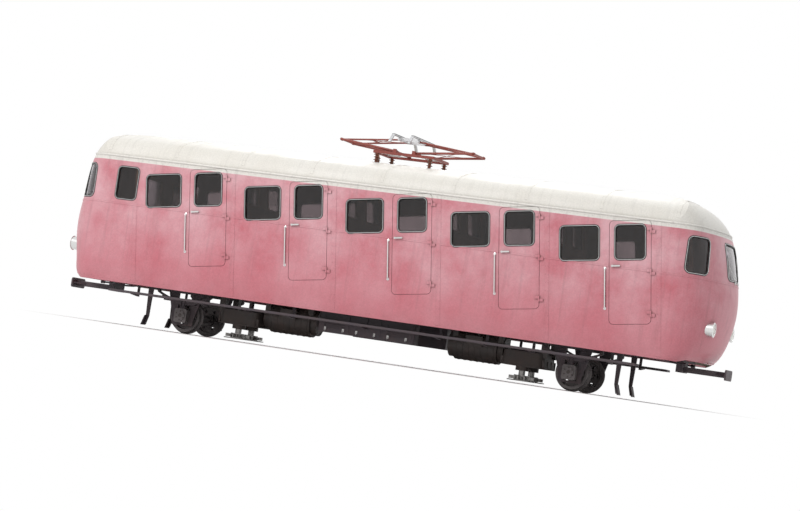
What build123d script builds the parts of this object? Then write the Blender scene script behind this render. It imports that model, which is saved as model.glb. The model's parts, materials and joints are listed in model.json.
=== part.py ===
from build123d import *
import os
from math import asin, atan, cos, degrees, hypot, pi, radians, sin, tan

# Two-axle electric railcar for a steep mountain rack railway, in millimetres.
# +X points to the downhill end, +Y to the left of the downhill direction, +Z up,
# with the wheels' lowest points at Z = 0 and the origin midway between the axles.
# The compartments are built plumb for the slope, so in the car's own frame their
# floors climb towards +X and their posts lean towards -X by one and the same angle.

os.makedirs("parts", exist_ok=True)

# Body outline
half_width = 1100
skirt_z = 620
cantrail_z = 2520
roof_rise = 430
roof_corner_radius = 300
straight_half = 4400
nose_rise = 750
nose_corner_share = 0.75
wall = 50
roof_skin = 45
seat_gap = 0.3
lining_gap = 0.5
arch_spread = 2

# Compartments: u runs along a compartment's floor, w up its posts
slope_angle = 8.0
compartment_count = 5
compartment_pitch = 1620
first_compartment_x = -3088
window_z = 2115
window_height = 480
window_radius = 60
fixed_window_width = 560
fixed_window_u = -332
floor_drop = 1115
floor_thickness = 40
partition_thickness = 40
partition_window_width = 640
partition_window_height = 420
partition_window_y = 500
cab_floor_z = 900

# Doors
door_width = 590
door_u = 395
door_top = 300
door_bottom = -1140
door_thickness = 36
door_gap = 6
door_stop_lip = 20
door_window_width = 428
hinge_stand_off = 16
hinge_radius = 12
hinge_length = 40
hinge_leaf = 60
hinge_heights = (-1000, -420, 160)
knuckle_play = 1
handle_w = -330
handle_inset = 45
handle_reach = 30
handle_boss = 16
handle_length = 130
handle_width = 22
handle_thickness = 14

# Cab windows, nose glass and headlamps
cab_window_width = 340
cab_window_x = -4035
glass_thickness = 8
glass_inset = 15
nose_glass_z = 2110
nose_glass_set_back = 100
nose_glass_height = 500
front_glass_width = 720
corner_glass_width = 360
corner_glass_angle = 45
nose_glass_radius = 70
lamp_radius = 100
lamp_y = 640
lamp_z = 1130
lamp_depth = 150
lamp_front = 128
lamp_bezel = 8
lamp_dome = 14
desk_half_width = 440

# Running gear
gauge = 800
axle_x = 3050
tread_radius = 240
flange_height = 25
tread_width = 85
flange_width = 28
axle_radius = 55
hub_radius = 88
rim_radius = 194
web_hole_circle = 142
web_hole_radius = 24
web_hole_count = 6
journal_radius = 45
running_play = 0.05
axlebox_width = 200
axlebox_height = 210
axlebox_inner_y = 530
axlebox_outer_y = 665
axlebox_cap = 20
axlebox_cover = 14
journal_end_y = 640
guard_leg = 70
guard_y = 552
guard_thickness = 14
guard_bottom = 120
spring_y = 595
spring_width = 58
leaf_half_lengths = (430, 430, 350, 270, 190)
spring_leaf = 13
spring_camber = 105
spring_eye_drop = 45
spring_eye_radius = 22
shackle_width = 36
buckle_length = 90
buckle_cheek = 4

# Underframe
sole_bar_y = 585
sole_bar_width = 80
sole_bar_bottom = 640
sole_bar_height = 180
sole_bar_half_length = 4550
sole_bar_web = 14
bearer_bottom = 660
bearer_height = 120
bearer_width = 90
bearer_places = (0, 1150, 1850, 2550, 3700, 4250)
hung_bearer_x = 2550
motor_bearers = (1150, 1850)
headstock_depth = 90
jacking_pad_x = 4050
jacking_pad_length = 160
jacking_pad_width = 110
jacking_pad_thickness = 16
footboard_z = 480
footboard_outer_y = 1085
footboard_width = 230
footboard_thickness = 32
footboard_half_length = 4100
bracket_width = 40
bracket_thickness = 14
box_length = 1500
box_depth = 205
box_bottom = 330
lid_count = 3
lid_length = 450
lid_height = 270
lid_thickness = 8
louvre_length = 320
louvre_width = 12
louvre_pitch = 30
louvre_count = 7
louvre_depth = 14

# Rack drive
tooth_count = 12
tooth_pitch = 85.7
tooth_addendum = 22
tooth_dedendum = 26
tooth_bottom = 62
tooth_height = 48
rack_half_width = 80
guide_disc_radius = 205
guide_disc_thickness = 16
drive_x = 2250
pinion_shaft_radius = 48
shaft_bore_depth = 160
housing_bottom = 190
housing_top = 470
housing_half_length = 330
housing_margin = 110
housing_taper = 6
cup_height = 60
cup_radius = 100
flange_proud = 14
flange_thickness = 18
rib_thickness = 14
rib_height = 120
rib_positions = (-300, -100, 100, 300)
lug_y = 240
lug_width = 120
lug_root = 60
motor_radius = 215
motor_z = 440
motor_start_x = 1050
motor_gap = 20
end_bell_radius = 185
end_bell_length = 90
motor_coupling_radius = 60
motor_foot_y = 150

# Pantograph
panto_shaft_z = 3130
panto_pivot_x = 150
panto_arm = 900
panto_rest_angle = 6
lower_arm_y = 285
upper_knee_y = 235
upper_head_y = 170
lower_tube = 18
upper_tube = 13
panto_shaft = 15
head_shaft = 11
insulator_x = 420
insulator_y = 330
insulator_core = 24
insulator_shed = 46
shed_count = 3
shed_pitch = 40
frame_bar = 40

tilt = radians(slope_angle)
along = (cos(tilt), 0, sin(tilt))
plumb = (-sin(tilt), 0, cos(tilt))
inner_y = half_width - wall
roof_z = cantrail_z + roof_rise
nose_tip = straight_half + nose_rise
half_bay = compartment_pitch * cos(tilt) / 2
step_drop = compartment_pitch * sin(tilt)
compartments = [
    first_compartment_x + compartment_pitch * i for i in range(compartment_count)
]
axle_z = tread_radius + flange_height
sides = ((-1, "right"), (1, "left"))
ends = ((-1, "uphill"), (1, "downhill"))

# Nose seen from the side: height, set-back of its tip from nose_tip, and where the
# straight sides end, which shrinks above the cantrail as the roof's dome closes
nose_stations = (
    (skirt_z, 370, straight_half),
    (skirt_z + 240, 120, straight_half),
    (skirt_z + 640, 12, straight_half),
    (skirt_z + 1100, 20, straight_half),
    (nose_glass_z, nose_glass_set_back, straight_half),
    (cantrail_z, 260, straight_half),
    (roof_z - 190, 480, straight_half - 150),
    (roof_z - 60, 760, straight_half - 400),
    (roof_z + 20, 1150, straight_half - 850),
)


def elevation_point(x_centre, u, w, y=0):
    """Point of a compartment's elevation, in the car's frame."""
    return (
        x_centre + u * cos(tilt) - w * sin(tilt),
        y,
        window_z + u * sin(tilt) + w * cos(tilt),
    )


def elevation(x_centre, y):
    """Side view of one compartment, which extrudes towards -Y."""
    return Plane(origin=(x_centre, y, window_z), x_dir=along, z_dir=(0, -1, 0))


def layer_start(side, outer, depth):
    """The +Y face of a layer of a side, given its outer face and its depth."""
    return outer if side > 0 else depth - outer


def rounded_end(start, rise, half, corner_radius, end=1):
    """Corner, front and corner arcs that close one end of an outline half wide."""
    turn = 90 - 2 * degrees(atan((rise - corner_radius) / (half - corner_radius)))
    corner_x = half - corner_radius + corner_radius * cos(radians(turn))
    corner_y = start + corner_radius * sin(radians(turn))
    JernArc((half, end * start), (0, end), corner_radius, end * turn)
    ThreePointArc(
        (corner_x, end * corner_y), (0, end * (start + rise)), (-corner_x, end * corner_y)
    )
    JernArc((-half, end * start), (0, end), corner_radius, -end * turn)


def nose_station(index, inset):
    """Height, tip and straight half length of one station, moved inwards by inset.

    Below the cantrail it moves level, and above it square to the dome's slope.
    """
    z, set_back, straight = nose_stations[index]
    tip_x = nose_tip - set_back
    if z < cantrail_z:
        return z, tip_x - inset, straight
    lower = nose_stations[index - 1]
    upper = nose_stations[min(index + 1, len(nose_stations) - 1)]
    climb, run = upper[0] - lower[0], upper[1] - lower[1]
    slope = hypot(climb, run)
    return z - inset * run / slope, tip_x - inset * climb / slope, straight


def envelope(inset, bottom=skirt_z):
    """Closed body form moved inwards by inset: lofted plans cut by the roof's arch.

    The arch springs a little outside the sides, so no two faces coincide.
    """
    half = half_width - inset
    form_reach = nose_tip + wall
    with BuildPart() as form:
        for index in range(len(nose_stations)):
            level, tip_x, straight = nose_station(index, inset)
            rise = tip_x - straight
            if index == 0:
                level = bottom
            with BuildSketch(Plane(origin=(0, 0, level), x_dir=(0, -1, 0), z_dir=(0, 0, 1))):
                with BuildLine():
                    for end in (1, -1):
                        Line((-end * half, -straight), (-end * half, straight))
                        rounded_end(straight, rise, half, nose_corner_share * rise, end)
                make_face()
        loft()
        with BuildSketch(Plane.YZ.offset(-form_reach)):
            arch = half + arch_spread
            with BuildLine():
                Polyline((-arch, cantrail_z), (-arch, 0), (arch, 0), (arch, cantrail_z))
                rounded_end(cantrail_z, roof_rise - inset, arch, roof_corner_radius - inset)
            make_face()
        extrude(amount=2 * form_reach, dir=(1, 0, 0), mode=Mode.INTERSECT)
    return form.part


outer_form = envelope(0)
inner_form = envelope(wall, skirt_z - wall)
lining_form = envelope(wall + lining_gap, skirt_z - wall)
glass_outer_form = envelope(glass_inset)
glass_inner_form = envelope(glass_inset + glass_thickness)
roof_inner_form = envelope(roof_skin)

# Side walls, with door openings, fixed windows and the uphill cab's window
hinge_u = door_u + door_width / 2 + door_gap / 2
door_centre_w = (door_top + door_bottom) / 2
door_height = door_top - door_bottom
for side, name in sides:
    wall_start = layer_start(side, half_width, wall)
    recess_start = layer_start(side, half_width, door_thickness + door_gap)
    hinge_y = side * (half_width + hinge_stand_off)
    with BuildPart() as side_wall:
        with BuildSketch(Plane.XZ.offset(-wall_start)):
            with Locations((0, (skirt_z + cantrail_z) / 2)):
                Rectangle(2 * straight_half, cantrail_z - skirt_z)
            with Locations((cab_window_x, window_z)):
                RectangleRounded(
                    cab_window_width, window_height, window_radius, mode=Mode.SUBTRACT
                )
        extrude(amount=wall)
        for x in compartments:
            with BuildSketch(elevation(x, wall_start)):
                with Locations((fixed_window_u, 0)):
                    RectangleRounded(fixed_window_width, window_height, window_radius)
                with Locations((door_u, door_centre_w)):
                    RectangleRounded(
                        door_width - 2 * door_stop_lip,
                        door_height - 2 * door_stop_lip,
                        window_radius,
                    )
            extrude(amount=wall, mode=Mode.SUBTRACT)
            with BuildSketch(elevation(x, recess_start)):
                with Locations((door_u, door_centre_w)):
                    RectangleRounded(
                        door_width + 2 * door_gap,
                        door_height + 2 * door_gap,
                        window_radius + door_gap,
                    )
            extrude(amount=door_thickness + door_gap, mode=Mode.SUBTRACT)
            for w in hinge_heights:
                base = w - hinge_length - knuckle_play
                knuckle = Plane(
                    origin=elevation_point(x, hinge_u, base, hinge_y),
                    x_dir=along,
                    z_dir=plumb,
                )
                with BuildSketch(knuckle):
                    Circle(hinge_radius)
                    with Locations((hinge_leaf / 2, -side * hinge_stand_off / 2)):
                        Rectangle(hinge_leaf, hinge_stand_off)
                extrude(amount=hinge_length)
    side_wall.part.label = "side_wall_" + name
    export_step(side_wall.part, "parts/side_wall_" + name + ".step")

# Doors, each hung on its downhill edge
handle_y = half_width + handle_reach
for side, name in sides:
    door_start = layer_start(side, half_width, door_thickness)
    hinge_y = side * (half_width + hinge_stand_off)
    for number, x in enumerate(compartments, 1):
        with BuildPart() as door:
            with BuildSketch(elevation(x, door_start)):
                with Locations((door_u, door_centre_w)):
                    RectangleRounded(door_width, door_height, window_radius)
                with Locations((door_u, 0)):
                    RectangleRounded(
                        door_window_width, window_height, window_radius, mode=Mode.SUBTRACT
                    )
            extrude(amount=door_thickness)
            for w in hinge_heights:
                knuckle = Plane(
                    origin=elevation_point(x, hinge_u, w, hinge_y),
                    x_dir=along,
                    z_dir=plumb,
                )
                with BuildSketch(knuckle):
                    Circle(hinge_radius)
                    with Locations((-hinge_leaf / 2, -side * hinge_stand_off / 2)):
                        Rectangle(hinge_leaf, hinge_stand_off)
                extrude(amount=hinge_length)
            lock_u = door_u - door_width / 2 + handle_inset
            with BuildSketch(elevation(x, layer_start(side, handle_y, handle_reach))):
                with Locations((lock_u, handle_w)):
                    Circle(handle_boss)
            extrude(amount=handle_reach)
            with BuildSketch(elevation(x, layer_start(side, handle_y, handle_thickness))):
                with Locations((lock_u + handle_length / 2 - handle_boss, handle_w)):
                    SlotOverall(handle_length, handle_width)
            extrude(amount=handle_thickness)
        label = "door_" + name + "_" + str(number)
        door.part.label = label
        export_step(door.part, "parts/" + label + ".step")

# Panes of the fixed windows and of the uphill cab's windows
with BuildPart() as side_windows:
    for side, name in sides:
        pane_start = layer_start(side, half_width - 20, glass_thickness)
        with BuildSketch(Plane.XZ.offset(-pane_start)):
            with Locations((cab_window_x, window_z)):
                RectangleRounded(
                    cab_window_width - 2 * seat_gap,
                    window_height - 2 * seat_gap,
                    window_radius - seat_gap,
                )
        extrude(amount=glass_thickness)
        for x in compartments:
            with BuildSketch(elevation(x, pane_start)):
                with Locations((fixed_window_u, 0)):
                    RectangleRounded(
                        fixed_window_width - 2 * seat_gap,
                        window_height - 2 * seat_gap,
                        window_radius - seat_gap,
                    )
            extrude(amount=glass_thickness)
side_windows.part.label = "side_windows"
export_step(side_windows.part, "parts/side_windows.step")


def nose_openings(end, gap=0):
    """Prisms through the nose for its front glass and two corner glasses."""
    angles = (0, corner_glass_angle, -corner_glass_angle)
    widths = (front_glass_width, corner_glass_width, corner_glass_width)
    arc_y = half_width - nose_corner_share * (nose_rise - nose_glass_set_back)
    with BuildPart() as prisms:
        for angle, width in zip(angles, widths):
            turn = radians(angle)
            foot_y = 0 if angle == 0 else arc_y * (1 if angle > 0 else -1)
            look = Plane(
                origin=(end * straight_half, foot_y, nose_glass_z),
                x_dir=(-end * sin(turn), cos(turn), 0),
                z_dir=(end * cos(turn), sin(turn), 0),
            )
            with BuildSketch(look):
                RectangleRounded(
                    width - 2 * gap, nose_glass_height - 2 * gap, nose_glass_radius - gap
                )
            extrude(amount=nose_rise + wall)
    return prisms.part


def lamp_places(end, reach):
    """Planes of a nose's two headlamps, at a distance in from the nose's tip."""
    return [
        Plane(
            origin=(end * (nose_tip - reach), y, lamp_z),
            x_dir=(0, 1, 0),
            z_dir=(end, 0, 0),
        )
        for y in (-lamp_y, lamp_y)
    ]


# Noses below the roof, their glass, and the headlamps
for end, name in ends:
    openings = nose_openings(end)
    panes = nose_openings(end, seat_gap)
    with BuildPart() as nose:
        add(outer_form)
        add(inner_form, mode=Mode.SUBTRACT)
        with BuildSketch(Plane.XY):
            with Locations((end * (straight_half + nose_rise), 0)):
                Rectangle(2 * nose_rise, 2 * half_width)
        extrude(amount=cantrail_z, mode=Mode.INTERSECT)
        add(openings, mode=Mode.SUBTRACT)
        for place in lamp_places(end, lamp_depth + lamp_front):
            with BuildSketch(place):
                Circle(lamp_radius + seat_gap)
            extrude(amount=2 * lamp_depth, mode=Mode.SUBTRACT)
    nose.part.label = "nose_" + name
    export_step(nose.part, "parts/nose_" + name + ".step")

    with BuildPart() as nose_glass:
        add(glass_outer_form)
        add(glass_inner_form, mode=Mode.SUBTRACT)
        add(panes, mode=Mode.INTERSECT)
    nose_glass.part.label = "nose_glass_" + name
    export_step(nose_glass.part, "parts/nose_glass_" + name + ".step")

with BuildPart() as headlamps:
    for end, name in ends:
        for place in lamp_places(end, lamp_depth + lamp_front):
            with BuildSketch(place):
                Circle(lamp_radius)
            extrude(amount=lamp_depth)
            with BuildSketch(place.offset(lamp_depth)):
                Circle(lamp_radius - lamp_bezel)
            extrude(amount=lamp_dome, taper=35)
headlamps.part.label = "headlamps"
export_step(headlamps.part, "parts/headlamps.step")

# Roof over the whole car, resting on the side walls and the noses
with BuildPart() as roof:
    add(outer_form)
    with BuildSketch(Plane.XY.offset(cantrail_z)):
        Rectangle(2 * nose_tip, 3 * half_width)
    extrude(amount=2 * roof_rise, mode=Mode.INTERSECT)
    add(roof_inner_form, mode=Mode.SUBTRACT)
roof.part.label = "roof"
export_step(roof.part, "parts/roof.step")

# Floors: one climbing plate for each compartment and a level one in each cab
bay_inside = 2 * half_bay - partition_thickness
with BuildPart() as floor:
    for x in compartments:
        with BuildSketch(elevation(x, inner_y)):
            with Locations((0, -floor_drop - floor_thickness / 2)):
                Rectangle(bay_inside, floor_thickness)
        extrude(amount=2 * inner_y)
    for end, name in ends:
        near = compartments[0 if end < 0 else -1]
        foot = elevation_point(near, end * half_bay, -floor_drop - floor_thickness)
        drop = (cab_floor_z - foot[2]) / cos(tilt)
        wall_x = foot[0] - sin(tilt) * drop + end * partition_thickness
        cab_length = nose_tip - abs(wall_x)
        with BuildSketch(Plane.XY.offset(cab_floor_z - floor_thickness)):
            with Locations((end * (abs(wall_x) + cab_length / 2), 0)):
                Rectangle(cab_length, 2 * inner_y)
        extrude(amount=floor_thickness)
    add(lining_form, mode=Mode.INTERSECT)
floor.part.label = "floor"
export_step(floor.part, "parts/floor.step")

# Partitions between the compartments and to the cabs, with a window each side
partition_feet = [-floor_drop - floor_thickness] + [
    -floor_drop - floor_thickness - step_drop
] * compartment_count
partition_places = [(compartments[0], -half_bay)] + [(x, half_bay) for x in compartments]
with BuildPart() as partitions:
    for (x, u), foot in zip(partition_places, partition_feet):
        top = roof_z - window_z
        with BuildSketch(elevation(x, inner_y)):
            with Locations((u, (foot + top) / 2)):
                Rectangle(partition_thickness, top - foot)
        extrude(amount=2 * inner_y)
        face = Plane(
            origin=elevation_point(x, u - partition_thickness / 2, 0),
            x_dir=(0, 1, 0),
            z_dir=along,
        )
        with BuildSketch(face):
            with Locations((-partition_window_y, 40), (partition_window_y, 40)):
                RectangleRounded(
                    partition_window_width, partition_window_height, window_radius
                )
        extrude(amount=partition_thickness, mode=Mode.SUBTRACT)
    add(lining_form, mode=Mode.INTERSECT)
partitions.part.label = "partitions"
export_step(partitions.part, "parts/partitions.step")

# Benches: a five-place one across the car and a three-place one between the doors
bench_depth = 430
bench_seat = 400
bench_back = 880
slat = 24
seat_slats = [(105 + 102 * i, bench_seat + slat / 2, 88, slat) for i in range(4)]
back_slats = [(72, 520 + 110 * i, slat, 88) for i in range(4)]
bench_frame = (
    (0, 0), (60, 0), (64, 370), (350, 370), (360, 0),
    (415, 0), (bench_depth, bench_seat), (60, bench_seat), (60, bench_back), (0, bench_back),
)
# facing, half the bench's width, and the places of its frames across the car
bench_table = (
    (1, inner_y - 5, (-900, -300, 300, 900)),
    (-1, 640, (-560, 0, 560)),
)
frame_width = 45
with BuildPart() as bench_pair:
    for facing, bench_half, frames in bench_table:
        back_u = -facing * (half_bay - partition_thickness / 2)
        for y in frames:
            with BuildSketch(elevation(0, y + frame_width / 2)):
                Polygon(
                    *[(back_u + facing * u, w - floor_drop) for u, w in bench_frame],
                    align=None,
                )
            extrude(amount=frame_width)
        with BuildSketch(elevation(0, bench_half)):
            for u, w, width, height in seat_slats + back_slats:
                with Locations((back_u + facing * u, w - floor_drop)):
                    Rectangle(width, height)
        extrude(amount=2 * bench_half)
with BuildPart() as benches:
    with Locations(*[(x, 0, 0) for x in compartments]):
        add(bench_pair.part)
benches.part.label = "benches"
export_step(benches.part, "parts/benches.step")

# Driver's desks against both noses
desk_outline = (
    (-190, 0), (-100, 0), (-60, 260), (-60, 880), (-180, 930), (-310, 860),
    (-310, 800), (-190, 740),
)
with BuildPart() as driver_desks:
    for end, name in ends:
        with BuildSketch(Plane.XZ.offset(-desk_half_width)):
            Polygon(
                *[(end * (nose_tip + x), cab_floor_z + z) for x, z in desk_outline],
                align=None,
            )
        extrude(amount=2 * desk_half_width)
    add(lining_form, mode=Mode.INTERSECT)
driver_desks.part.label = "driver_desks"
export_step(driver_desks.part, "parts/driver_desks.step")

# Underframe: channel sole bars, cross bearers, headstocks and jacking pads
outer_bearer_x = bearer_places[-2]
bearer_positions = [-x for x in reversed(bearer_places[1:])] + list(bearer_places)
with BuildPart() as underframe:
    for side, name in sides:
        with BuildSketch(Plane.YZ.offset(-sole_bar_half_length)):
            with Locations((side * sole_bar_y, sole_bar_bottom + sole_bar_height / 2)):
                Rectangle(sole_bar_width, sole_bar_height)
            with Locations(
                (side * (sole_bar_y + sole_bar_web), sole_bar_bottom + sole_bar_height / 2)
            ):
                Rectangle(
                    sole_bar_width, sole_bar_height - 2 * sole_bar_web, mode=Mode.SUBTRACT
                )
        extrude(amount=2 * sole_bar_half_length)
    with BuildSketch(Plane.XY.offset(bearer_bottom)):
        with Locations(*[(x, 0) for x in bearer_positions]):
            Rectangle(bearer_width, 2 * inner_y)
    extrude(amount=bearer_height)
    for end, name in ends:
        with BuildSketch(Plane.XY.offset(sole_bar_bottom)):
            with Locations((end * (sole_bar_half_length - headstock_depth / 2), 0)):
                Rectangle(headstock_depth, 2 * (sole_bar_y + sole_bar_width / 2))
        extrude(amount=sole_bar_height)
    with BuildSketch(Plane.XY.offset(sole_bar_bottom - jacking_pad_thickness)):
        with GridLocations(2 * jacking_pad_x, 2 * sole_bar_y, 2, 2):
            Rectangle(jacking_pad_length, jacking_pad_width)
    extrude(amount=jacking_pad_thickness)
underframe.part.label = "underframe"
export_step(underframe.part, "parts/underframe.step")

# Draw and buffing gear under each headstock, with the hole for a towing pin
tow_pin_radius = 22
tow_pin_inset = 130
buffer_reach = nose_tip + 40
buffer_z = 540
buffer_plate = 24
draw_bar_width = 110
draw_bar_height = 80
buffer_width = 420
buffer_height = 150
with BuildPart() as buffers:
    for end, name in ends:
        root_x = end * (sole_bar_half_length - headstock_depth / 2)
        with BuildSketch(Plane.XY.offset(buffer_z - draw_bar_height / 2 - 10)):
            with Locations((root_x, 0)):
                Rectangle(headstock_depth, 360)
        extrude(amount=sole_bar_bottom - buffer_z + draw_bar_height / 2 + 10)
        bar_end = buffer_reach - buffer_plate
        with BuildSketch(Plane.XY.offset(buffer_z - draw_bar_height / 2)):
            with Locations((end * (sole_bar_half_length + bar_end) / 2, 0)):
                Rectangle(bar_end - sole_bar_half_length, draw_bar_width)
        extrude(amount=draw_bar_height)
        with BuildSketch(Plane.XY.offset(buffer_z - buffer_plate / 2)):
            for side, side_name in sides:
                Polygon(
                    (end * bar_end, side * (buffer_width / 2 - 30)),
                    (end * bar_end, 0),
                    (end * (bar_end - 160), side * draw_bar_width / 2),
                    align=None,
                )
        extrude(amount=buffer_plate)
        face = Plane(origin=(end * bar_end, 0, buffer_z), x_dir=(0, 1, 0), z_dir=(end, 0, 0))
        with BuildSketch(face):
            RectangleRounded(buffer_width, buffer_height, 40)
        extrude(amount=buffer_plate)
        with BuildSketch(Plane.XY.offset(buffer_z - draw_bar_height / 2)):
            with Locations((end * (buffer_reach - tow_pin_inset), 0)):
                Circle(tow_pin_radius)
        extrude(amount=draw_bar_height, mode=Mode.SUBTRACT)
buffers.part.label = "buffers"
export_step(buffers.part, "parts/buffers.step")

# Footboards below the doors, on brackets hung from the cross bearers
footboard_y = footboard_outer_y - footboard_width / 2
bracket_y = footboard_outer_y - footboard_width
bracket_outline = (
    (bracket_y - bracket_thickness, bearer_bottom),
    (bracket_y, bearer_bottom),
    (bracket_y, footboard_z),
    (footboard_outer_y - bracket_thickness, footboard_z),
    (footboard_outer_y - bracket_thickness, footboard_z - bracket_thickness / 2),
    (bracket_y - bracket_thickness, footboard_z - 2 * bracket_thickness),
)
with BuildPart() as footboards:
    for side, name in sides:
        with BuildSketch(Plane.XY.offset(footboard_z)):
            with Locations((0, side * footboard_y)):
                RectangleRounded(2 * footboard_half_length, footboard_width, 30)
        extrude(amount=footboard_thickness)
        for x in bearer_positions[1:-1]:
            with BuildSketch(Plane.YZ.offset(x - bracket_width / 2)):
                Polygon(*[(side * y, z) for y, z in bracket_outline], align=None)
            extrude(amount=bracket_width)
footboards.part.label = "footboards"
export_step(footboards.part, "parts/footboards.step")

# Wheelsets turned as one piece, half outline as distance from the middle and radius
wheel_back = gauge / 2 - flange_width
wheel_front = gauge / 2 + tread_width
journal_start = axlebox_inner_y - 6
wheel_half = (
    (0, 0), (0, axle_radius), (wheel_back - 10, axle_radius), (wheel_back - 10, hub_radius),
    (wheel_back + 34, hub_radius + 6), (wheel_back + 22, rim_radius),
    (wheel_back, rim_radius + 6), (wheel_back, axle_z), (wheel_back + 20, axle_z),
    (gauge / 2 + 6, tread_radius), (wheel_front, tread_radius - 3),
    (wheel_front, rim_radius + 2), (gauge / 2 + 30, rim_radius - 4),
    (gauge / 2 + 40, hub_radius + 2), (wheel_front + 6, hub_radius - 4),
    (wheel_front + 6, journal_radius + 6), (journal_start, journal_radius + 6),
    (journal_start, journal_radius), (journal_end_y, journal_radius), (journal_end_y, 0),
)
for end, name in ends:
    centre = (end * axle_x, 0, axle_z)
    with BuildPart() as wheelset:
        with BuildSketch(Plane(origin=centre, x_dir=(0, 1, 0), z_dir=(-1, 0, 0))):
            Polygon(*wheel_half, align=None)
            Polygon(*[(-y, r) for y, r in reversed(wheel_half)], align=None)
        revolve(axis=Axis(centre, (0, 1, 0)))
        with BuildSketch(Plane(origin=centre, x_dir=(1, 0, 0), z_dir=(0, 1, 0))):
            with PolarLocations(web_hole_circle, web_hole_count):
                Circle(web_hole_radius)
        extrude(amount=wheel_front, both=True, mode=Mode.SUBTRACT)
    wheelset.part.label = "wheelset_" + name
    export_step(wheelset.part, "parts/wheelset_" + name + ".step")


def wheel_side_plane(x, side, y):
    """Upright plane at an axle's end that faces outwards."""
    return Plane(origin=(x, side * y, axle_z), x_dir=(1, 0, 0), z_dir=(0, side, 0))


# Axleboxes closed over the ends of the journals
axle_places = [(end * axle_x, side) for end, end_name in ends for side, side_name in sides]
axlebox_depth = axlebox_outer_y - axlebox_inner_y
with BuildPart() as axleboxes:
    for x, side in axle_places:
        with BuildSketch(wheel_side_plane(x, side, axlebox_inner_y)):
            RectangleRounded(axlebox_width, axlebox_height, 30)
        extrude(amount=axlebox_depth)
        with BuildSketch(wheel_side_plane(x, side, axlebox_outer_y)):
            Circle(axlebox_width / 2 - 22)
        extrude(amount=axlebox_cover)
        with BuildSketch(wheel_side_plane(x, side, axlebox_inner_y)):
            Circle(journal_radius + running_play)
        extrude(amount=axlebox_depth - axlebox_cap, mode=Mode.SUBTRACT)
axleboxes.part.label = "axleboxes"
export_step(axleboxes.part, "parts/axleboxes.step")

# Axle guards: a plate under the sole bar with a slot that guides each axlebox
guard_slot = axlebox_width / 2 + seat_gap
guard_foot = guard_slot + guard_leg
guard_outline = (
    (-guard_slot - 190, sole_bar_bottom), (-guard_foot, guard_bottom + 80),
    (-guard_foot, guard_bottom), (guard_foot, guard_bottom),
    (guard_foot, guard_bottom + 80), (guard_slot + 190, sole_bar_bottom),
)
slot_bottom = axle_z - axlebox_height / 2 - 10
slot_top = sole_bar_bottom - 40
with BuildPart() as axle_guards:
    for x, side in axle_places:
        with BuildSketch(Plane.XZ.offset(-side * guard_y - guard_thickness / 2)):
            with Locations((x, 0)):
                Polygon(*guard_outline, align=None)
            with Locations((x, (slot_bottom + slot_top) / 2)):
                Rectangle(2 * guard_slot, slot_top - slot_bottom, mode=Mode.SUBTRACT)
        extrude(amount=guard_thickness)
axle_guards.part.label = "axle_guards"
export_step(axle_guards.part, "parts/axle_guards.step")

# Leaf springs: stepped leaves in a buckle on each axlebox, shackled to the sole bar
box_top = axle_z + axlebox_height / 2
eye_z = sole_bar_bottom - spring_eye_drop
spring_low_z = eye_z - spring_camber
eye_x = leaf_half_lengths[0]
spring_curve = (eye_x**2 + spring_camber**2) / (2 * spring_camber)


def leaf_point(x, swing, radius):
    """Point on an arc about the springs' centre of curvature above x."""
    return (x + radius * sin(swing), spring_low_z + spring_curve - radius * cos(swing))


with BuildPart() as leaf_springs:
    for x, side in axle_places:
        with BuildSketch(Plane.XZ.offset(-side * spring_y - spring_width / 2)):
            for index, half_length in enumerate(leaf_half_lengths):
                top = spring_curve + index * spring_leaf
                foot = top + spring_leaf
                swing = asin(half_length / spring_curve)
                with BuildLine():
                    ThreePointArc(*[leaf_point(x, a, top) for a in (-swing, 0, swing)])
                    Line(leaf_point(x, swing, top), leaf_point(x, swing, foot))
                    ThreePointArc(*[leaf_point(x, a, foot) for a in (swing, 0, -swing)])
                    Line(leaf_point(x, -swing, foot), leaf_point(x, -swing, top))
                make_face()
            with Locations((x - eye_x, eye_z), (x + eye_x, eye_z)):
                Circle(spring_eye_radius)
            with Locations(*[(x + eye, eye_z + spring_eye_drop / 2) for eye in (-eye_x, eye_x)]):
                Rectangle(shackle_width, spring_eye_drop)
        extrude(amount=spring_width)
        buckle_start = -side * spring_y - spring_width / 2 - buckle_cheek
        with BuildSketch(Plane.XZ.offset(buckle_start)):
            with Locations((x, (box_top + spring_low_z + spring_leaf) / 2)):
                Rectangle(buckle_length, spring_low_z + spring_leaf - box_top)
        extrude(amount=spring_width + 2 * buckle_cheek)
leaf_springs.part.label = "leaf_springs"
export_step(leaf_springs.part, "parts/leaf_springs.step")

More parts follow.
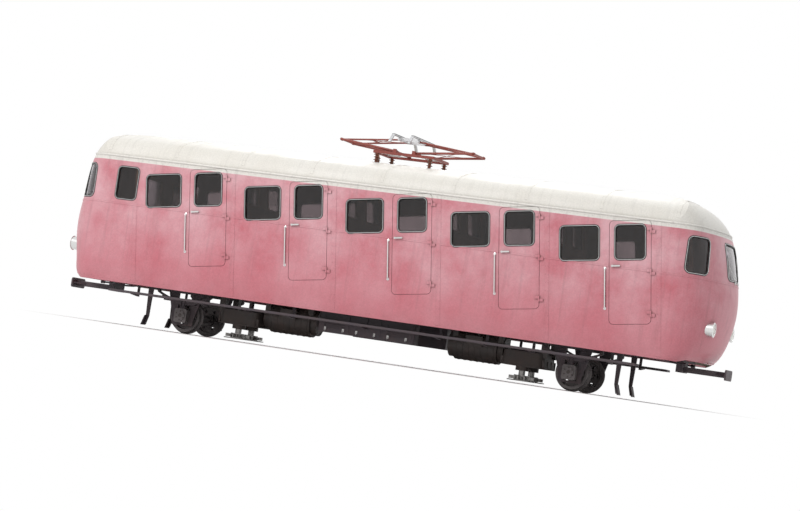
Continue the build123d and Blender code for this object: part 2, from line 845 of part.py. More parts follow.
# Rack pinions on upright shafts, each with a guide disc that runs below the rack
pitch_radius = tooth_count * tooth_pitch / (2 * pi)
pinion_y = rack_half_width + pitch_radius
root_radius = pitch_radius - tooth_dedendum
tip_radius = pitch_radius + tooth_addendum
tooth_outline = (
    (root_radius - 4, -32), (root_radius + 6, -30), (pitch_radius, -20), (tip_radius, -9),
    (tip_radius, 9), (pitch_radius, 20), (root_radius + 6, 30), (root_radius - 4, 32),
)
disc_bottom = tooth_bottom - guide_disc_thickness - 8
for end, end_name in ends:
    for side, side_name in sides:
        spot = (end * drive_x, side * pinion_y)
        with BuildPart() as pinion:
            with BuildSketch(Plane((*spot, tooth_bottom))):
                Circle(root_radius)
                with PolarLocations(0, tooth_count, start_angle=90):
                    Polygon(*tooth_outline, align=None)
            extrude(amount=tooth_height)
            with BuildSketch(Plane((*spot, disc_bottom))):
                Circle(guide_disc_radius)
            extrude(amount=guide_disc_thickness)
            with BuildSketch(Plane((*spot, disc_bottom))):
                Circle(110)
            extrude(amount=tooth_bottom + tooth_height + 14 - disc_bottom)
            with BuildSketch(Plane((*spot, tooth_bottom))):
                Circle(pinion_shaft_radius)
            extrude(amount=housing_bottom + shaft_bore_depth - tooth_bottom)
        label = "pinion_" + end_name + "_" + side_name
        pinion.part.label = label
        export_step(pinion.part, "parts/" + label + ".step")

# Drive housings: a ribbed gear case over each pair of pinions, hung from a cross bearer
case_bottom = housing_bottom + cup_height
case_width = 2 * pinion_y + 2 * housing_margin
with BuildPart() as housing_pattern:
    with BuildSketch(Plane.XY.offset(case_bottom)):
        RectangleRounded(2 * housing_half_length, case_width, housing_margin)
    extrude(amount=housing_top - case_bottom, taper=housing_taper)
    with BuildSketch(Plane.XY.offset(case_bottom)):
        RectangleRounded(
            2 * (housing_half_length + flange_proud),
            case_width + 2 * flange_proud,
            housing_margin + flange_proud,
        )
    extrude(amount=flange_thickness)
    with BuildSketch(Plane.XY.offset(case_bottom)):
        with Locations(*[(0, y) for y in rib_positions]):
            Rectangle(2 * housing_half_length, rib_thickness)
    extrude(amount=rib_height)
    with BuildSketch(Plane.XY.offset(housing_bottom)):
        with GridLocations(0, 2 * pinion_y, 1, 2):
            Circle(cup_radius)
    extrude(amount=cup_height)
for end, name in ends:
    with BuildPart() as housing:
        with Locations((end * drive_x, 0, 0)):
            add(housing_pattern.part)
        with BuildSketch(Plane.XY.offset(housing_top - lug_root)):
            with Locations((end * hung_bearer_x, -lug_y), (end * hung_bearer_x, lug_y)):
                Rectangle(bearer_width, lug_width)
        extrude(amount=bearer_bottom - housing_top + lug_root)
        with BuildSketch(Plane((end * drive_x, 0, housing_bottom))):
            with GridLocations(0, 2 * pinion_y, 1, 2):
                Circle(pinion_shaft_radius + running_play)
        extrude(amount=shaft_bore_depth + knuckle_play, mode=Mode.SUBTRACT)
    housing.part.label = "drive_housing_" + name
    export_step(housing.part, "parts/drive_housing_" + name + ".step")

# Traction motors, one beside each drive housing, hung from two cross bearers
case_face = housing_half_length - (
    motor_z - motor_coupling_radius - case_bottom
) * tan(radians(housing_taper))
# radius and reach along the shaft from motor_start_x
motor_steps = (
    (end_bell_radius, drive_x - housing_half_length - motor_gap - motor_start_x),
    (motor_coupling_radius, drive_x - case_face - seat_gap - motor_start_x),
)
with BuildPart() as traction_motors:
    for end, name in ends:
        shaft = Plane(
            origin=(end * motor_start_x, 0, motor_z), x_dir=(0, 1, 0), z_dir=(end, 0, 0)
        )
        for radius, reach in motor_steps:
            with BuildSketch(shaft):
                Circle(radius)
            extrude(amount=reach)
        with BuildSketch(shaft.offset(end_bell_length)):
            Circle(motor_radius)
        extrude(amount=motor_steps[0][1] - 2 * end_bell_length)
        with BuildSketch(Plane.XY.offset(motor_z + 100)):
            with Locations(
                *[(end * x, y) for x in motor_bearers for y in (-motor_foot_y, motor_foot_y)]
            ):
                Rectangle(80, 70)
        extrude(amount=bearer_bottom - motor_z - 100)
traction_motors.part.label = "traction_motors"
export_step(traction_motors.part, "parts/traction_motors.step")

# Resistor and battery boxes outside the sole bars, with lids and louvres
box_inner_y = sole_bar_y + sole_bar_width / 2
box_outer_y = box_inner_y + box_depth
box_middle_z = (box_bottom + bearer_bottom) / 2
lid_pitch = box_length / lid_count - 10
with BuildPart() as equipment_boxes:
    for side, name in sides:
        with BuildSketch(Plane((0, side * (box_inner_y + box_depth / 2), box_bottom))):
            RectangleRounded(box_length, box_depth, 20)
        extrude(amount=bearer_bottom - box_bottom)
        lid_outer = box_outer_y + lid_thickness
        with BuildSketch(Plane.XZ.offset(-layer_start(side, lid_outer, lid_thickness))):
            with Locations((0, box_middle_z)):
                with GridLocations(lid_pitch, 0, lid_count, 1):
                    RectangleRounded(lid_length, lid_height, 12)
        extrude(amount=lid_thickness)
        with BuildSketch(Plane.XZ.offset(-layer_start(side, lid_outer, louvre_depth))):
            with Locations((-lid_pitch, box_middle_z), (lid_pitch, box_middle_z)):
                with GridLocations(0, louvre_pitch, 1, louvre_count):
                    Rectangle(louvre_length, louvre_width)
        extrude(amount=louvre_depth, mode=Mode.SUBTRACT)
equipment_boxes.part.label = "equipment_boxes"
export_step(equipment_boxes.part, "parts/equipment_boxes.step")

# Rail guards: a hanger under the outer cross bearers with a blade over each rail
guard_y_centre = gauge / 2 + 25
hanger_outline = (
    (-45, bearer_bottom), (45, bearer_bottom), (35, 420), (25, 190), (45, 60),
    (10, 60), (-25, 190), (-30, 420),
)
blade_outline = ((5, 200), (25, 190), (70, 45), (45, 45))
with BuildPart() as rail_guards:
    for end, name in ends:
        for side, side_name in sides:
            for outline, width in ((hanger_outline, 24), (blade_outline, 130)):
                with BuildSketch(Plane.XZ.offset(-side * guard_y_centre - width / 2)):
                    Polygon(
                        *[(end * (outer_bearer_x + x), z) for x, z in outline], align=None
                    )
                extrude(amount=width)
rail_guards.part.label = "rail_guards"
export_step(rail_guards.part, "parts/rail_guards.step")

# Pantograph: base frame on four shedded insulators, with bearings for the arms' shafts
frame_bottom = panto_shaft_z - 60
insulator_outline = [(0, frame_bottom), (0, roof_z - 90), (insulator_core, roof_z - 90)]
for shed in range(shed_count):
    shed_z = frame_bottom - shed_pitch * (shed_count - shed) + shed_pitch / 2
    insulator_outline += [
        (insulator_core, shed_z - 12), (insulator_shed, shed_z - 6),
        (insulator_shed, shed_z), (insulator_core, shed_z + 10),
    ]
insulator_outline.append((insulator_core, frame_bottom))
with BuildPart() as panto_base:
    for side, name in sides:
        with BuildSketch(Plane.YZ.offset(-insulator_x - 60)):
            with Locations((side * insulator_y, frame_bottom + frame_bar / 2)):
                Rectangle(frame_bar, frame_bar)
        extrude(amount=2 * insulator_x + 120)
        for x in (-insulator_x, insulator_x):
            spot = (x, side * insulator_y, 0)
            with BuildSketch(Plane(origin=spot, x_dir=(1, 0, 0), z_dir=(0, -1, 0))):
                Polygon(*insulator_outline, align=None)
            revolve(axis=Axis(spot, (0, 0, 1)))
        with BuildSketch(Plane.XZ.offset(-side * insulator_y - 15)):
            with Locations((-panto_pivot_x, panto_shaft_z), (panto_pivot_x, panto_shaft_z)):
                Rectangle(50, 60)
                Circle(panto_shaft + running_play, mode=Mode.SUBTRACT)
        extrude(amount=30)
    with BuildSketch(Plane.XY.offset(frame_bottom)):
        with GridLocations(2 * (insulator_x + frame_bar), 0, 2, 1):
            Rectangle(frame_bar, 2 * insulator_y)
    extrude(amount=frame_bar)
    add(envelope(-seat_gap), mode=Mode.SUBTRACT)
panto_base.part.label = "panto_base"
export_step(panto_base.part, "parts/panto_base.step")

rest = radians(panto_rest_angle)
knee_x = panto_pivot_x + panto_arm * cos(rest)
knee_z = panto_shaft_z + panto_arm * sin(rest)
head_z = panto_shaft_z + 2 * panto_arm * sin(rest)


def rod(start, finish, radius):
    """Round bar between two points, added to the part in hand."""
    run = Vector(*finish) - Vector(*start)
    with BuildSketch(Plane(origin=start, z_dir=run)) as section:
        Circle(radius)
    extrude(section.sketch, amount=run.length)


def cross_rod(x, z, reach, radius):
    """Round bar across the car, as far to each side as reach."""
    rod((x, -reach, z), (x, reach, z), radius)


# Lower arms: two tubes on a shaft in the base's bearings, with the knee's shaft
for end, name in ends:
    with BuildPart() as lower_arm:
        shaft_reach = insulator_y + 15
        cross_rod(end * panto_pivot_x, panto_shaft_z, shaft_reach, panto_shaft)
        cross_rod(end * knee_x, knee_z, lower_arm_y, panto_shaft)
        for side, side_name in sides:
            rod(
                (end * panto_pivot_x, side * lower_arm_y, panto_shaft_z),
                (end * knee_x, side * lower_arm_y, knee_z),
                lower_tube,
            )
    lower_arm.part.label = "panto_lower_" + name
    export_step(lower_arm.part, "parts/panto_lower_" + name + ".step")

# Upper arms: two tubes that converge from the knee to the head
knuckle_width = 36
for end, name in ends:
    head_play = running_play if end < 0 else 1
    with BuildPart() as upper_arm:
        for side, side_name in sides:
            rod(
                (end * knee_x, side * upper_knee_y, knee_z),
                (end * panto_pivot_x, side * upper_head_y, head_z),
                upper_tube,
            )
            with BuildSketch(Plane.XZ.offset(-side * upper_knee_y - knuckle_width / 2)):
                with Locations((end * knee_x, knee_z)):
                    Circle(panto_shaft + 8)
            extrude(amount=knuckle_width)
            with BuildSketch(Plane.XZ.offset(-side * upper_head_y - knuckle_width / 2)):
                with Locations((end * panto_pivot_x, head_z)):
                    Circle(head_shaft + 7)
            extrude(amount=knuckle_width)
        cross_rod(
            end * (knee_x + panto_pivot_x) / 2,
            (knee_z + head_z) / 2,
            upper_head_y + 40,
            upper_tube - 3,
        )
        for reach, place, radius in (
            (lower_arm_y, (end * knee_x, knee_z), panto_shaft + running_play),
            (upper_head_y + knuckle_width, (end * panto_pivot_x, head_z), head_shaft + head_play),
        ):
            with BuildSketch(Plane.XZ.offset(-reach)):
                with Locations(place):
                    Circle(radius)
            extrude(amount=2 * reach, mode=Mode.SUBTRACT)
    upper_arm.part.label = "panto_upper_" + name
    export_step(upper_arm.part, "parts/panto_upper_" + name + ".step")

# Head: two shafts, side plates and two contact strips with down-turned horns
strip_profile_z = head_z + 55
with BuildPart() as head:
    for end, name in ends:
        cross_rod(end * panto_pivot_x, head_z, upper_head_y + 45, head_shaft)
        with BuildSketch(Plane.YZ.offset(end * panto_pivot_x - 20)):
            with BuildLine():
                FilletPolyline(
                    (-620, strip_profile_z - 130), (-480, strip_profile_z), (480, strip_profile_z),
                    (620, strip_profile_z - 130), (600, strip_profile_z - 150),
                    (468, strip_profile_z - 24), (-468, strip_profile_z - 24),
                    (-600, strip_profile_z - 150), radius=8, close=True,
                )
            make_face()
        extrude(amount=40)
    for side, name in sides:
        with BuildSketch(Plane.XZ.offset(-side * (upper_head_y + 35) - 6)):
            with Locations((0, head_z + 10)):
                Rectangle(2 * panto_pivot_x + 50, 50)
        extrude(amount=12)
head.part.label = "panto_head"
export_step(head.part, "parts/panto_head.step")
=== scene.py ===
import json
from functools import partialmethod
from math import asin, cos, pi, radians, sin, tan, tau

import bmesh
import bpy
from bpy.props import FloatProperty, FloatVectorProperty, IntProperty, PointerProperty
from mathutils import Matrix, Vector
from mathutils.bvhtree import BVHTree


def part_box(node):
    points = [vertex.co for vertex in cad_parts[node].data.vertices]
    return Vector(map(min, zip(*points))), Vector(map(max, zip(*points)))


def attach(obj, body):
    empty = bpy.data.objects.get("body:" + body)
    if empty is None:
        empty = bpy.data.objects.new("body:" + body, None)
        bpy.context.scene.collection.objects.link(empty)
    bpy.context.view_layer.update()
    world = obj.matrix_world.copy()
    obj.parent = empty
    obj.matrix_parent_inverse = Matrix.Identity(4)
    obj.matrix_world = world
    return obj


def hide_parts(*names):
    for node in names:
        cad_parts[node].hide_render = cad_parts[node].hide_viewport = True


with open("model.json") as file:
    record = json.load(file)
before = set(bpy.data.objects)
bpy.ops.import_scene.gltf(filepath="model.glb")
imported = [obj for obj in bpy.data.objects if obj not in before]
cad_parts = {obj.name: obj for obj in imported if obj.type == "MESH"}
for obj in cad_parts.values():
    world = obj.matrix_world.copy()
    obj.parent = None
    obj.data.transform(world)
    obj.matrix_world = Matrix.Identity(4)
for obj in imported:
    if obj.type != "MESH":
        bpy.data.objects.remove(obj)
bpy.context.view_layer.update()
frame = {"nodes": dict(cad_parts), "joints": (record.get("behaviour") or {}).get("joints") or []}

bl_info = {
    "name": "Rack Railcar Dressing",
    "version": (1, 0, 0),
    "blender": (4, 5, 0),
    "location": "3D View > Sidebar > Railcar",
    "description": "Finishes, glazing, trim and stage for the rack railway railcar",
    "category": "Object",
}


def at(x, y, z):
    """Point or direction."""
    return Vector((x, y, z))


# Facts read from the frame. Each bay is named after its doors and is measured from its
# door's hinge line: u runs downhill along the bay's floor, w up its leaning posts.
PIVOTS = {joint["child"]: Vector(joint["pos_m"]) for joint in frame["joints"]}
AXES = {joint["child"]: Vector(joint["axis"]) for joint in frame["joints"]}
LEAN = asin(abs(AXES["door_right_1"].x))
X, Y, Z = at(1, 0, 0), at(0, 1, 0), at(0, 0, 1)
ALONG = at(cos(LEAN), 0, sin(LEAN))
PLUMB = at(-sin(LEAN), 0, cos(LEAN))
BOTH = (-1, 1)
SIDES = ((-1, "right"), (1, "left"))
ENDS = ((-1, "uphill"), (1, "downhill"))
CORNERS = [(end, side) for end in BOTH for side in BOTH]
BAYS = range(1, sum(body.startswith("door_left") for body in PIVOTS) + 1)
WALL_LOW, WALL_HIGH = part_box("side_wall_left")
STRAIGHT_END = WALL_HIGH.x
SKIRT_Z = WALL_LOW.z
CANTRAIL_Z = WALL_HIGH.z
ROOF_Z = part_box("roof")[1].z
NOSE_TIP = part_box("nose_downhill")[1].x
AXLE_X = sum(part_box("wheelset_downhill")[i].x for i in (0, 1)) / 2
AXLE_Z = PIVOTS["wheelset_uphill"].z
PANTO_SHAFT_Z = PIVOTS["panto_lower_uphill"].z

# From the pantograph's shafts down to where its brown insulators end
INSULATOR_DROP = 0.0605
# A wheel's radii, and its distances from the middle, between which it is worn bright
BRIGHT_RADII = (0.2355, 0.2665)
BRIGHT_SIDES = (0.371, 0.4865)
# Depth of the contact strips' carbon
CARBON = 0.009
# How far out of the skin a handle's finish starts, and how far it reaches past the handle's
# ends, as a share of a bay's length
HANDLE_PROUD = 0.0015
HANDLE_MARGIN = 0.012
# How far trim starts inside the face that it stands on, and how much a pane is smaller
# than its opening
SUNK = -0.0003
PANE_GAP = 0.0006
# Heights of the rivet rows above the body's lower edge and below the roof's edge
RIVET_ROWS = (SKIRT_Z + 0.06, CANTRAIL_Z - 0.045)


def colour(name, description, default):
    """Property that holds one colour, as red, green and blue shares of light."""
    return FloatVectorProperty(
        name=name, description=description, subtype="COLOR", size=3, min=0, max=1, default=default
    )


def length(name, description, default):
    """Property that holds one length in metres."""
    return FloatProperty(
        name=name, description=description, unit="LENGTH", default=default, precision=4
    )


class RailcarColours(bpy.types.PropertyGroup):
    """Colours of the car's paints and coverings."""

    body: colour("Body", "Rose red of the sides and noses", (0.60, 0.165, 0.205))
    body_faded: colour("Faded body", "Chalked red in the sun", (0.75, 0.42, 0.465))
    roof: colour("Roof", "Cream white of the roof", (0.84, 0.82, 0.77))
    # Colour of soot and rain streaks, and also of the painted shade in the paint's corners and
    # creases
    grime_and_shade: colour("Grime And Shade", "Soot and rain streaks", (0.10, 0.075, 0.07))
    underframe: colour("Underframe", "Dark grey of the frame", (0.058, 0.046, 0.058))
    brake_dust: colour("Brake dust", "Brown dust near the rails", (0.15, 0.095, 0.075))
    lining: colour("Lining", "Pale panels inside the car", (0.55, 0.51, 0.42))
    rubber: colour("Rubber", "Window and door seals", (0.018, 0.017, 0.018))
    bench: colour("Bench", "Varnished slats", (0.40, 0.19, 0.075))
    bench_dark: colour("Bench grain", "Grain of the slats", (0.20, 0.085, 0.03))
    porcelain: colour("Porcelain", "Brown glaze of the insulators", (0.16, 0.045, 0.02))
    panto: colour("Pantograph", "Red oxide of the arms", (0.27, 0.05, 0.035))


class RailcarSizes(bpy.types.PropertyGroup):
    """Sizes of the glazing and trim."""

    skin_y: length("Skin", "Outer face of the sides from the centre", 1.1)
    window_z: length("Cab window height", "Middle of the cab's side window", 2.115)
    window_height: length("Window height", "Height of every side window", 0.48)
    window_radius: length("Window corner", "Corner radius of the windows", 0.06)
    fixed_width: length("Fixed window", "Width of a fixed window", 0.56)
    fixed_u: length("Fixed window place", "Its centre from the hinge line", -1.025)
    door_pane_width: length("Door window", "Width of a door's window", 0.428)
    door_pane_u: length("Door window place", "Its centre from the hinge line", -0.298)
    door_width: length("Door width", "Width of a door", 0.59)
    door_thickness: length("Door thickness", "From the skin to its inner face", 0.036)
    door_edge: length("Door edge", "Door's near edge from the hinge line", -0.003)
    cab_width: length("Cab window", "Width of the uphill cab's window", 0.34)
    cab_x: length("Cab window place", "Its centre along the car", -4.035)
    glass_inset: length("Glass inset", "Side panes behind the skin", 0.02)
    glass: length("Glass", "Thickness of a pane", 0.008)
    partition_u: length("Partition place", "Its middle from the hinge line", 0.109)
    partition: length("Partition", "Thickness of a partition", 0.04)
    bay_length: length("Bay length", "Between two partitions", 1.6042)
    hatch_width: length("Partition window", "Its width", 0.64)
    hatch_height: length("Partition window height", "Its height", 0.42)
    hatch_y: length("Partition window place", "Its centre from the middle", 0.5)
    hatch_w: length("Partition window level", "Its centre above the windows'", 0.04)
    band: length("Cream band", "Its depth below the roof's edge", 0.075)
    handle_x: length("Handle place", "Its middle from the hinge along the car", -0.447)
    handle_length: length("Handle", "Length of a door's handle", 0.13)
    waist_z: length("Waist", "Height of the waist moulding", 1.80)
    rivet: length("Rivet", "Radius of a rivet's head", 0.007)
    rivet_pitch: length("Rivet pitch", "Distance between rivets", 0.11)
    nose_glass_z: length("Nose glass height", "Middle of the nose glass", 2.11)
    nose_glass_height: length("Nose glass", "Height of the nose glass", 0.5)
    front_width: length("Front glass", "Width of the front pane", 0.72)
    corner_width: length("Corner glass", "Width of a corner pane", 0.36)
    nose_glass_radius: length("Nose glass corner", "Corner radius", 0.07)
    corner_y: length("Corner centre", "Centre of a nose corner from the middle", 0.6125)
    lamp_y: length("Headlamp place", "Its centre from the middle", 0.64)
    lamp_z: length("Headlamp height", "Its centre above the rails", 1.13)
    lamp_radius: length("Headlamp", "Outer radius of a headlamp", 0.1)
    lamp_depth: length("Headlamp depth", "Depth of a headlamp", 0.164)


class RailcarStage(bpy.types.PropertyGroup):
    """Floor, light and camera."""

    azimuth: FloatProperty(
        name="Azimuth", description="Turn of the view round the car",
        subtype="ANGLE", default=radians(20),
    )
    roll: FloatProperty(
        name="Roll", description="Slope of the car in the picture",
        subtype="ANGLE", default=radians(8.4),
    )
    distance: length("Distance", "From the camera to the car", 34.0)
    camera_z: length("Camera height", "Above the floor", 0.12)
    target_z: length("Aim", "Height that the camera looks at", 1.62)
    lens: FloatProperty(name="Lens", description="Focal length in millimetres", default=103)
    floor: colour("Floor", "Plain pale floor", (0.86, 0.86, 0.86))


def colours():
    """Colours in use."""
    return bpy.context.scene.railcar_colours


def sizes():
    """Sizes in use."""
    return bpy.context.scene.railcar_sizes


def evenly(start, stop, count):
    """Values from start to stop, in count equal steps."""
    return [start + (stop - start) * i / count for i in range(count + 1)]


def spokes(side, other, count):
    """Directions evenly round, from one side towards the other."""
    return [side * cos(tau * k / count) + other * sin(tau * k / count) for k in range(count)]


def spokes_round(axis, count):
    """Directions evenly round an axis."""
    side = axis.orthogonal().normalized()
    return spokes(side, axis.cross(side), count)


class Shape:
    """A mesh in the making. Each face takes the finish in hand."""

    SHARP = radians(40)
    BEVELLED = radians(50)
    RIVET_HEAD = ((1, -0.1), (0.9, 0.32), (0.5, 0.6))

    def __init__(self):
        self.mesh = bmesh.new()
        self.finish = 0

    def face(self, corners):
        """One face over vertices."""
        self.mesh.faces.new(corners).material_index = self.finish

    def loft(self, rings, loop=False):
        """Skin over rings of points, closed by caps or, for a loop, by the first ring."""
        made = [[self.mesh.verts.new(point) for point in ring] for ring in rings]
        pairs = list(zip(made, made[1:]))
        if loop:
            pairs.append((made[-1], made[0]))
        for near, far in pairs:
            for i in range(len(near)):
                j = (i + 1) % len(near)
                self.face((near[i], near[j], far[j], far[i]))
        if not loop:
            self.face(made[0][::-1])
            self.face(made[-1])

    def prism(self, outline, origin, across, up, depth):
        """Flat outline in a plane, thickened along the plane's normal."""
        normal = across.cross(up) * depth
        near = [origin + across * x + up * y for x, y in outline]
        self.loft([near, [point + normal for point in near]])

    def box(self, centre, size, across=X, up=Z):
        """Block with its width across, its depth along the normal and its height up."""
        width, depth, height = size
        corners = [(a * width / 2, b * height / 2) for a, b in ((-1, -1), (1, -1), (1, 1), (-1, 1))]
        self.prism(corners, centre - across.cross(up) * depth / 2, across, up, depth)

    def tube(self, points, radius, segments=10):
        """Round bar through points."""
        rings = []
        side = None
        for i, point in enumerate(points):
            after = points[min(i + 1, len(points) - 1)]
            run = (after - points[max(i - 1, 0)]).normalized()
            if side is None:
                side = run.orthogonal()
            side = (side - run * side.dot(run)).normalized()
            rings.append([point + out * radius for out in spokes(side, run.cross(side), segments)])
        self.loft(rings)

    def turned(self, profile, origin, axis, segments=32):
        """Closed profile of (radius, height) points, turned round an axis."""
        self.loft([
            [origin + out * radius + axis * height for radius, height in profile]
            for out in spokes_round(axis, segments)
        ], loop=True)

    def rim(self, places, section, loop=True):
        """Section of (outwards, proud) points, swept along (point, outwards, proud) places."""
        self.loft([
            [point + out * a + proud * b for a, b in section] for point, out, proud in places
        ], loop=loop)

    def dome(self, point, normal, radius):
        """Round rivet head that stands on a surface."""
        around = spokes_round(normal, 8)
        self.loft([
            [point + out * (radius * share) + normal * (radius * height) for out in around]
            for share, height in self.RIVET_HEAD
        ])

    def bolt(self, point, normal, radius):
        """Hexagonal bolt head on its washer."""
        washer = ((0, 0), (1.25, 0), (1.25, 0.2), (0, 0.2))
        head = ((0, 0), (1, 0), (1, 0.75), (0.8, 0.85), (0, 0.85))
        for profile, segments in ((washer, 12), (head, 6)):
            self.turned([(radius * a, radius * b) for a, b in profile], point, normal, segments)

    def coil(self, start, end, radius, wire, turns, steps=12):
        """Helical spring between two points."""
        run = end - start
        side = run.orthogonal().normalized()
        around = spokes(side, run.normalized().cross(side), steps)
        self.tube([
            start + run * (i / (turns * steps)) + around[i % steps] * radius
            for i in range(turns * steps + 1)
        ], wire, 6)

    def place(self, name, slot, *finishes, body="root", bevel=0):
        """The finished object, riding on its body."""
        bmesh.ops.remove_doubles(self.mesh, verts=self.mesh.verts, dist=1e-6)
        bmesh.ops.recalc_face_normals(self.mesh, faces=self.mesh.faces)
        mesh = bpy.data.meshes.new(name)
        self.mesh.to_mesh(mesh)
        self.mesh.free()
        mesh.polygons.foreach_set("use_smooth", [True] * len(mesh.polygons))
        mesh.set_sharp_from_angle(angle=self.SHARP)
        for label in finishes:
            mesh.materials.append(finish(label))
        piece = bpy.data.objects.new(name, mesh)
        bpy.context.scene.collection.objects.link(piece)
        if bevel:
            rounding = piece.modifiers.new("Rounded edges", "BEVEL")
            rounding.width = bevel
            rounding.segments = 2
            rounding.limit_method = "ANGLE"
            rounding.angle_limit = self.BEVELLED
        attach(piece, body)
        return piece


def rounded_outline(width, height, radius, steps=6):
    """Points of a rounded rectangle, each with the direction that leads out of it."""
    places = []
    for quarter, (right, up) in enumerate(((1, 1), (-1, 1), (-1, -1), (1, -1))):
        centre = Vector((right * (width / 2 - radius), up * (height / 2 - radius)))
        for step in range(steps + 1):
            angle = pi / 2 * (quarter + step / steps)
            out = Vector((cos(angle), sin(angle)))
            places.append((centre + out * radius, out))
    return places


def pane_outline(width, height, radius):
    """Outline of a pane that fits into its opening."""
    return [point for point, out in rounded_outline(width - PANE_GAP, height - PANE_GAP, radius)]


def with_points_between(outline, spacing):
    """The same outline with more points along its straight edges."""
    places = []
    for (start, out), (stop, other) in zip(outline, outline[1:] + outline[:1]):
        count = max(1, int((stop - start).length / spacing))
        for k in range(count):
            share = k / count
            places.append((start.lerp(stop, share), out.lerp(other, share).normalized()))
    return places


def bay_point(side, number, u, w, y):
    """Point of a bay, y metres from the middle on its own side."""
    hinge = PIVOTS[f"door_{dict(SIDES)[side]}_{number}"]
    return at(hinge.x, side * y, hinge.z) + ALONG * u + PLUMB * w


def side_x(side, number, u, z):
    """Where a bay's leaning line at u crosses a height, along the car."""
    foot = bay_point(side, number, u, 0, 0)
    return foot.x - (z - foot.z) * tan(LEAN)


def door_edges(side, number):
    """Far and near edge of a door at the waist, along the car."""
    size = sizes()
    return [side_x(side, number, u, size.waist_z)
            for u in (size.door_edge - size.door_width, size.door_edge)]


def walls():
    """Bay and place of every partition, from the uphill end."""
    size = sizes()
    return [(1, size.partition_u - size.bay_length)] + [(n, size.partition_u) for n in BAYS]


def window_places(centre, across, up, proud, width, height, radius):
    """Places round a flat window's opening, for a rim."""
    return [
        (centre + across * p.x + up * p.y, across * out.x + up * out.y, proud)
        for p, out in rounded_outline(width, height, radius)
    ]


def skin_of(*names):
    """Search tree of the outer faces of CAD nodes."""
    points, faces = [], []
    for name in names:
        mesh = frame["nodes"][name].data
        start = len(points)
        points += [vertex.co.copy() for vertex in mesh.vertices]
        faces += [[start + i for i in polygon.vertices] for polygon in mesh.polygons]
    return BVHTree.FromPolygons(points, faces)


SKIN = skin_of("side_wall_left", "side_wall_right", "nose_uphill", "nose_downhill", "roof")
GLAZED_NOSES = skin_of("nose_uphill", "nose_downhill", "nose_glass_uphill", "nose_glass_downhill")
CLIMB_STEP = 0.002


def skin_hit(origin, direction, climb=0.0, tree=SKIN):
    """Point and outward normal where a ray meets the skin, raised up to climb until it does."""
    lift = 0.0
    while lift <= climb:
        point, normal = tree.ray_cast(origin + Z * lift, direction)[:2]
        if point is not None:
            return point, -normal if normal.dot(direction) > 0 else normal
        lift += CLIMB_STEP
    raise ValueError(f"no skin found from {tuple(origin)}")


def along_skin(direction, normal):
    """The direction, laid down on a surface."""
    return (direction - normal * direction.dot(normal)).normalized()


def round_the_nose(end, z, steps=40):
    """Places on a nose at one height, from the right side round to the left side.

    A height near the skirt is kept above the nose's own lower edge, which rises in front.
    """
    places = []
    for step in range(steps + 1):
        angle = pi * (step / steps - 0.5)
        out = at(end * cos(angle), sin(angle), 0)
        if step in (0, steps):
            out = at(0, out.y, 0).normalized()
        start = at(end * STRAIGHT_END, 0, z) + out * 3
        if z < SKIRT_Z + 0.1:
            start.z = SKIRT_Z + 0.0005
            edge, normal = skin_hit(start, -out, 0.08)
            start.z = edge.z + z - SKIRT_Z
        point, normal = skin_hit(start, -out)
        places.append((point, along_skin(Z, normal), normal))
    return places


class Nodes:
    """Short way to place and join the nodes of one tree."""

    def __init__(self, tree):
        self.tree = tree

    def feed(self, socket, value):
        """Joins a socket to another one, or sets it to a value or to a colour in use by name."""
        if isinstance(value, bpy.types.NodeSocket):
            self.tree.links.new(value, socket)
            return
        if isinstance(value, str):
            value = getattr(colours(), value)
        socket.default_value = (*value, 1) if socket.type == "RGBA" else value

    def add(self, kind, inputs=(), **settings):
        """New node with its settings and inputs, given as (socket, value) pairs."""
        node = self.tree.nodes.new(kind)
        for name, value in settings.items():
            setattr(node, name, value)
        for socket, value in inputs:
            self.feed(node.inputs[socket], value)
        return node

    def maths(self, operation, first, second=0.0, third=0.5, clamp=False):
        """Result of a sum over values."""
        return self.add(
            "ShaderNodeMath", ((0, first), (1, second), (2, third)),
            operation=operation, use_clamp=clamp,
        ).outputs[0]

    plus = partialmethod(maths, "ADD")
    minus = partialmethod(maths, "SUBTRACT")
    times = partialmethod(maths, "MULTIPLY")
    larger = partialmethod(maths, "MAXIMUM")
    above = partialmethod(maths, "GREATER_THAN")
    below = partialmethod(maths, "LESS_THAN")
    unsigned = partialmethod(maths, "ABSOLUTE")

    def noise(self, where, scale, detail=3.0, roughness=0.5):
        """Soft noise over a set of coordinates."""
        return self.add("ShaderNodeTexNoise", (
            ("Vector", where), ("Scale", scale), ("Detail", detail), ("Roughness", roughness),
        )).outputs["Fac"]

    def where(self):
        """Coordinates of the surface in the car's own frame."""
        return self.add("ShaderNodeTexCoord").outputs["Object"]

    def parts(self, vector):
        """The three parts of a vector."""
        return self.add("ShaderNodeSeparateXYZ", ((0, vector),)).outputs

    def stretched(self, where, scale):
        """Coordinates stretched by a scale along each axis."""
        return self.add("ShaderNodeMapping", (("Vector", where), ("Scale", scale))).outputs[0]

    def between(self, value, low, high, to_low=0.0, to_high=1.0):
        """Value brought from one range to another and held inside it."""
        return self.add("ShaderNodeMapRange", (
            ("Value", value), ("From Min", low), ("From Max", high),
            ("To Min", to_low), ("To Max", to_high),
        )).outputs[0]

    def blend(self, share, first, second, mode="MIX"):
        """Two colours mixed by a share."""
        return self.add(
            "ShaderNodeMix", ((0, share), (6, first), (7, second)),
            data_type="RGBA", blend_type=mode,
        ).outputs[2]

    def backdrop_rays(self):
        """1 for the rays that see the white backdrop: camera, glossy and transmission."""
        path = self.add("ShaderNodeLightPath").outputs
        return self.larger(
            path["Is Camera Ray"], self.larger(path["Is Glossy Ray"], path["Is Transmission Ray"])
        )


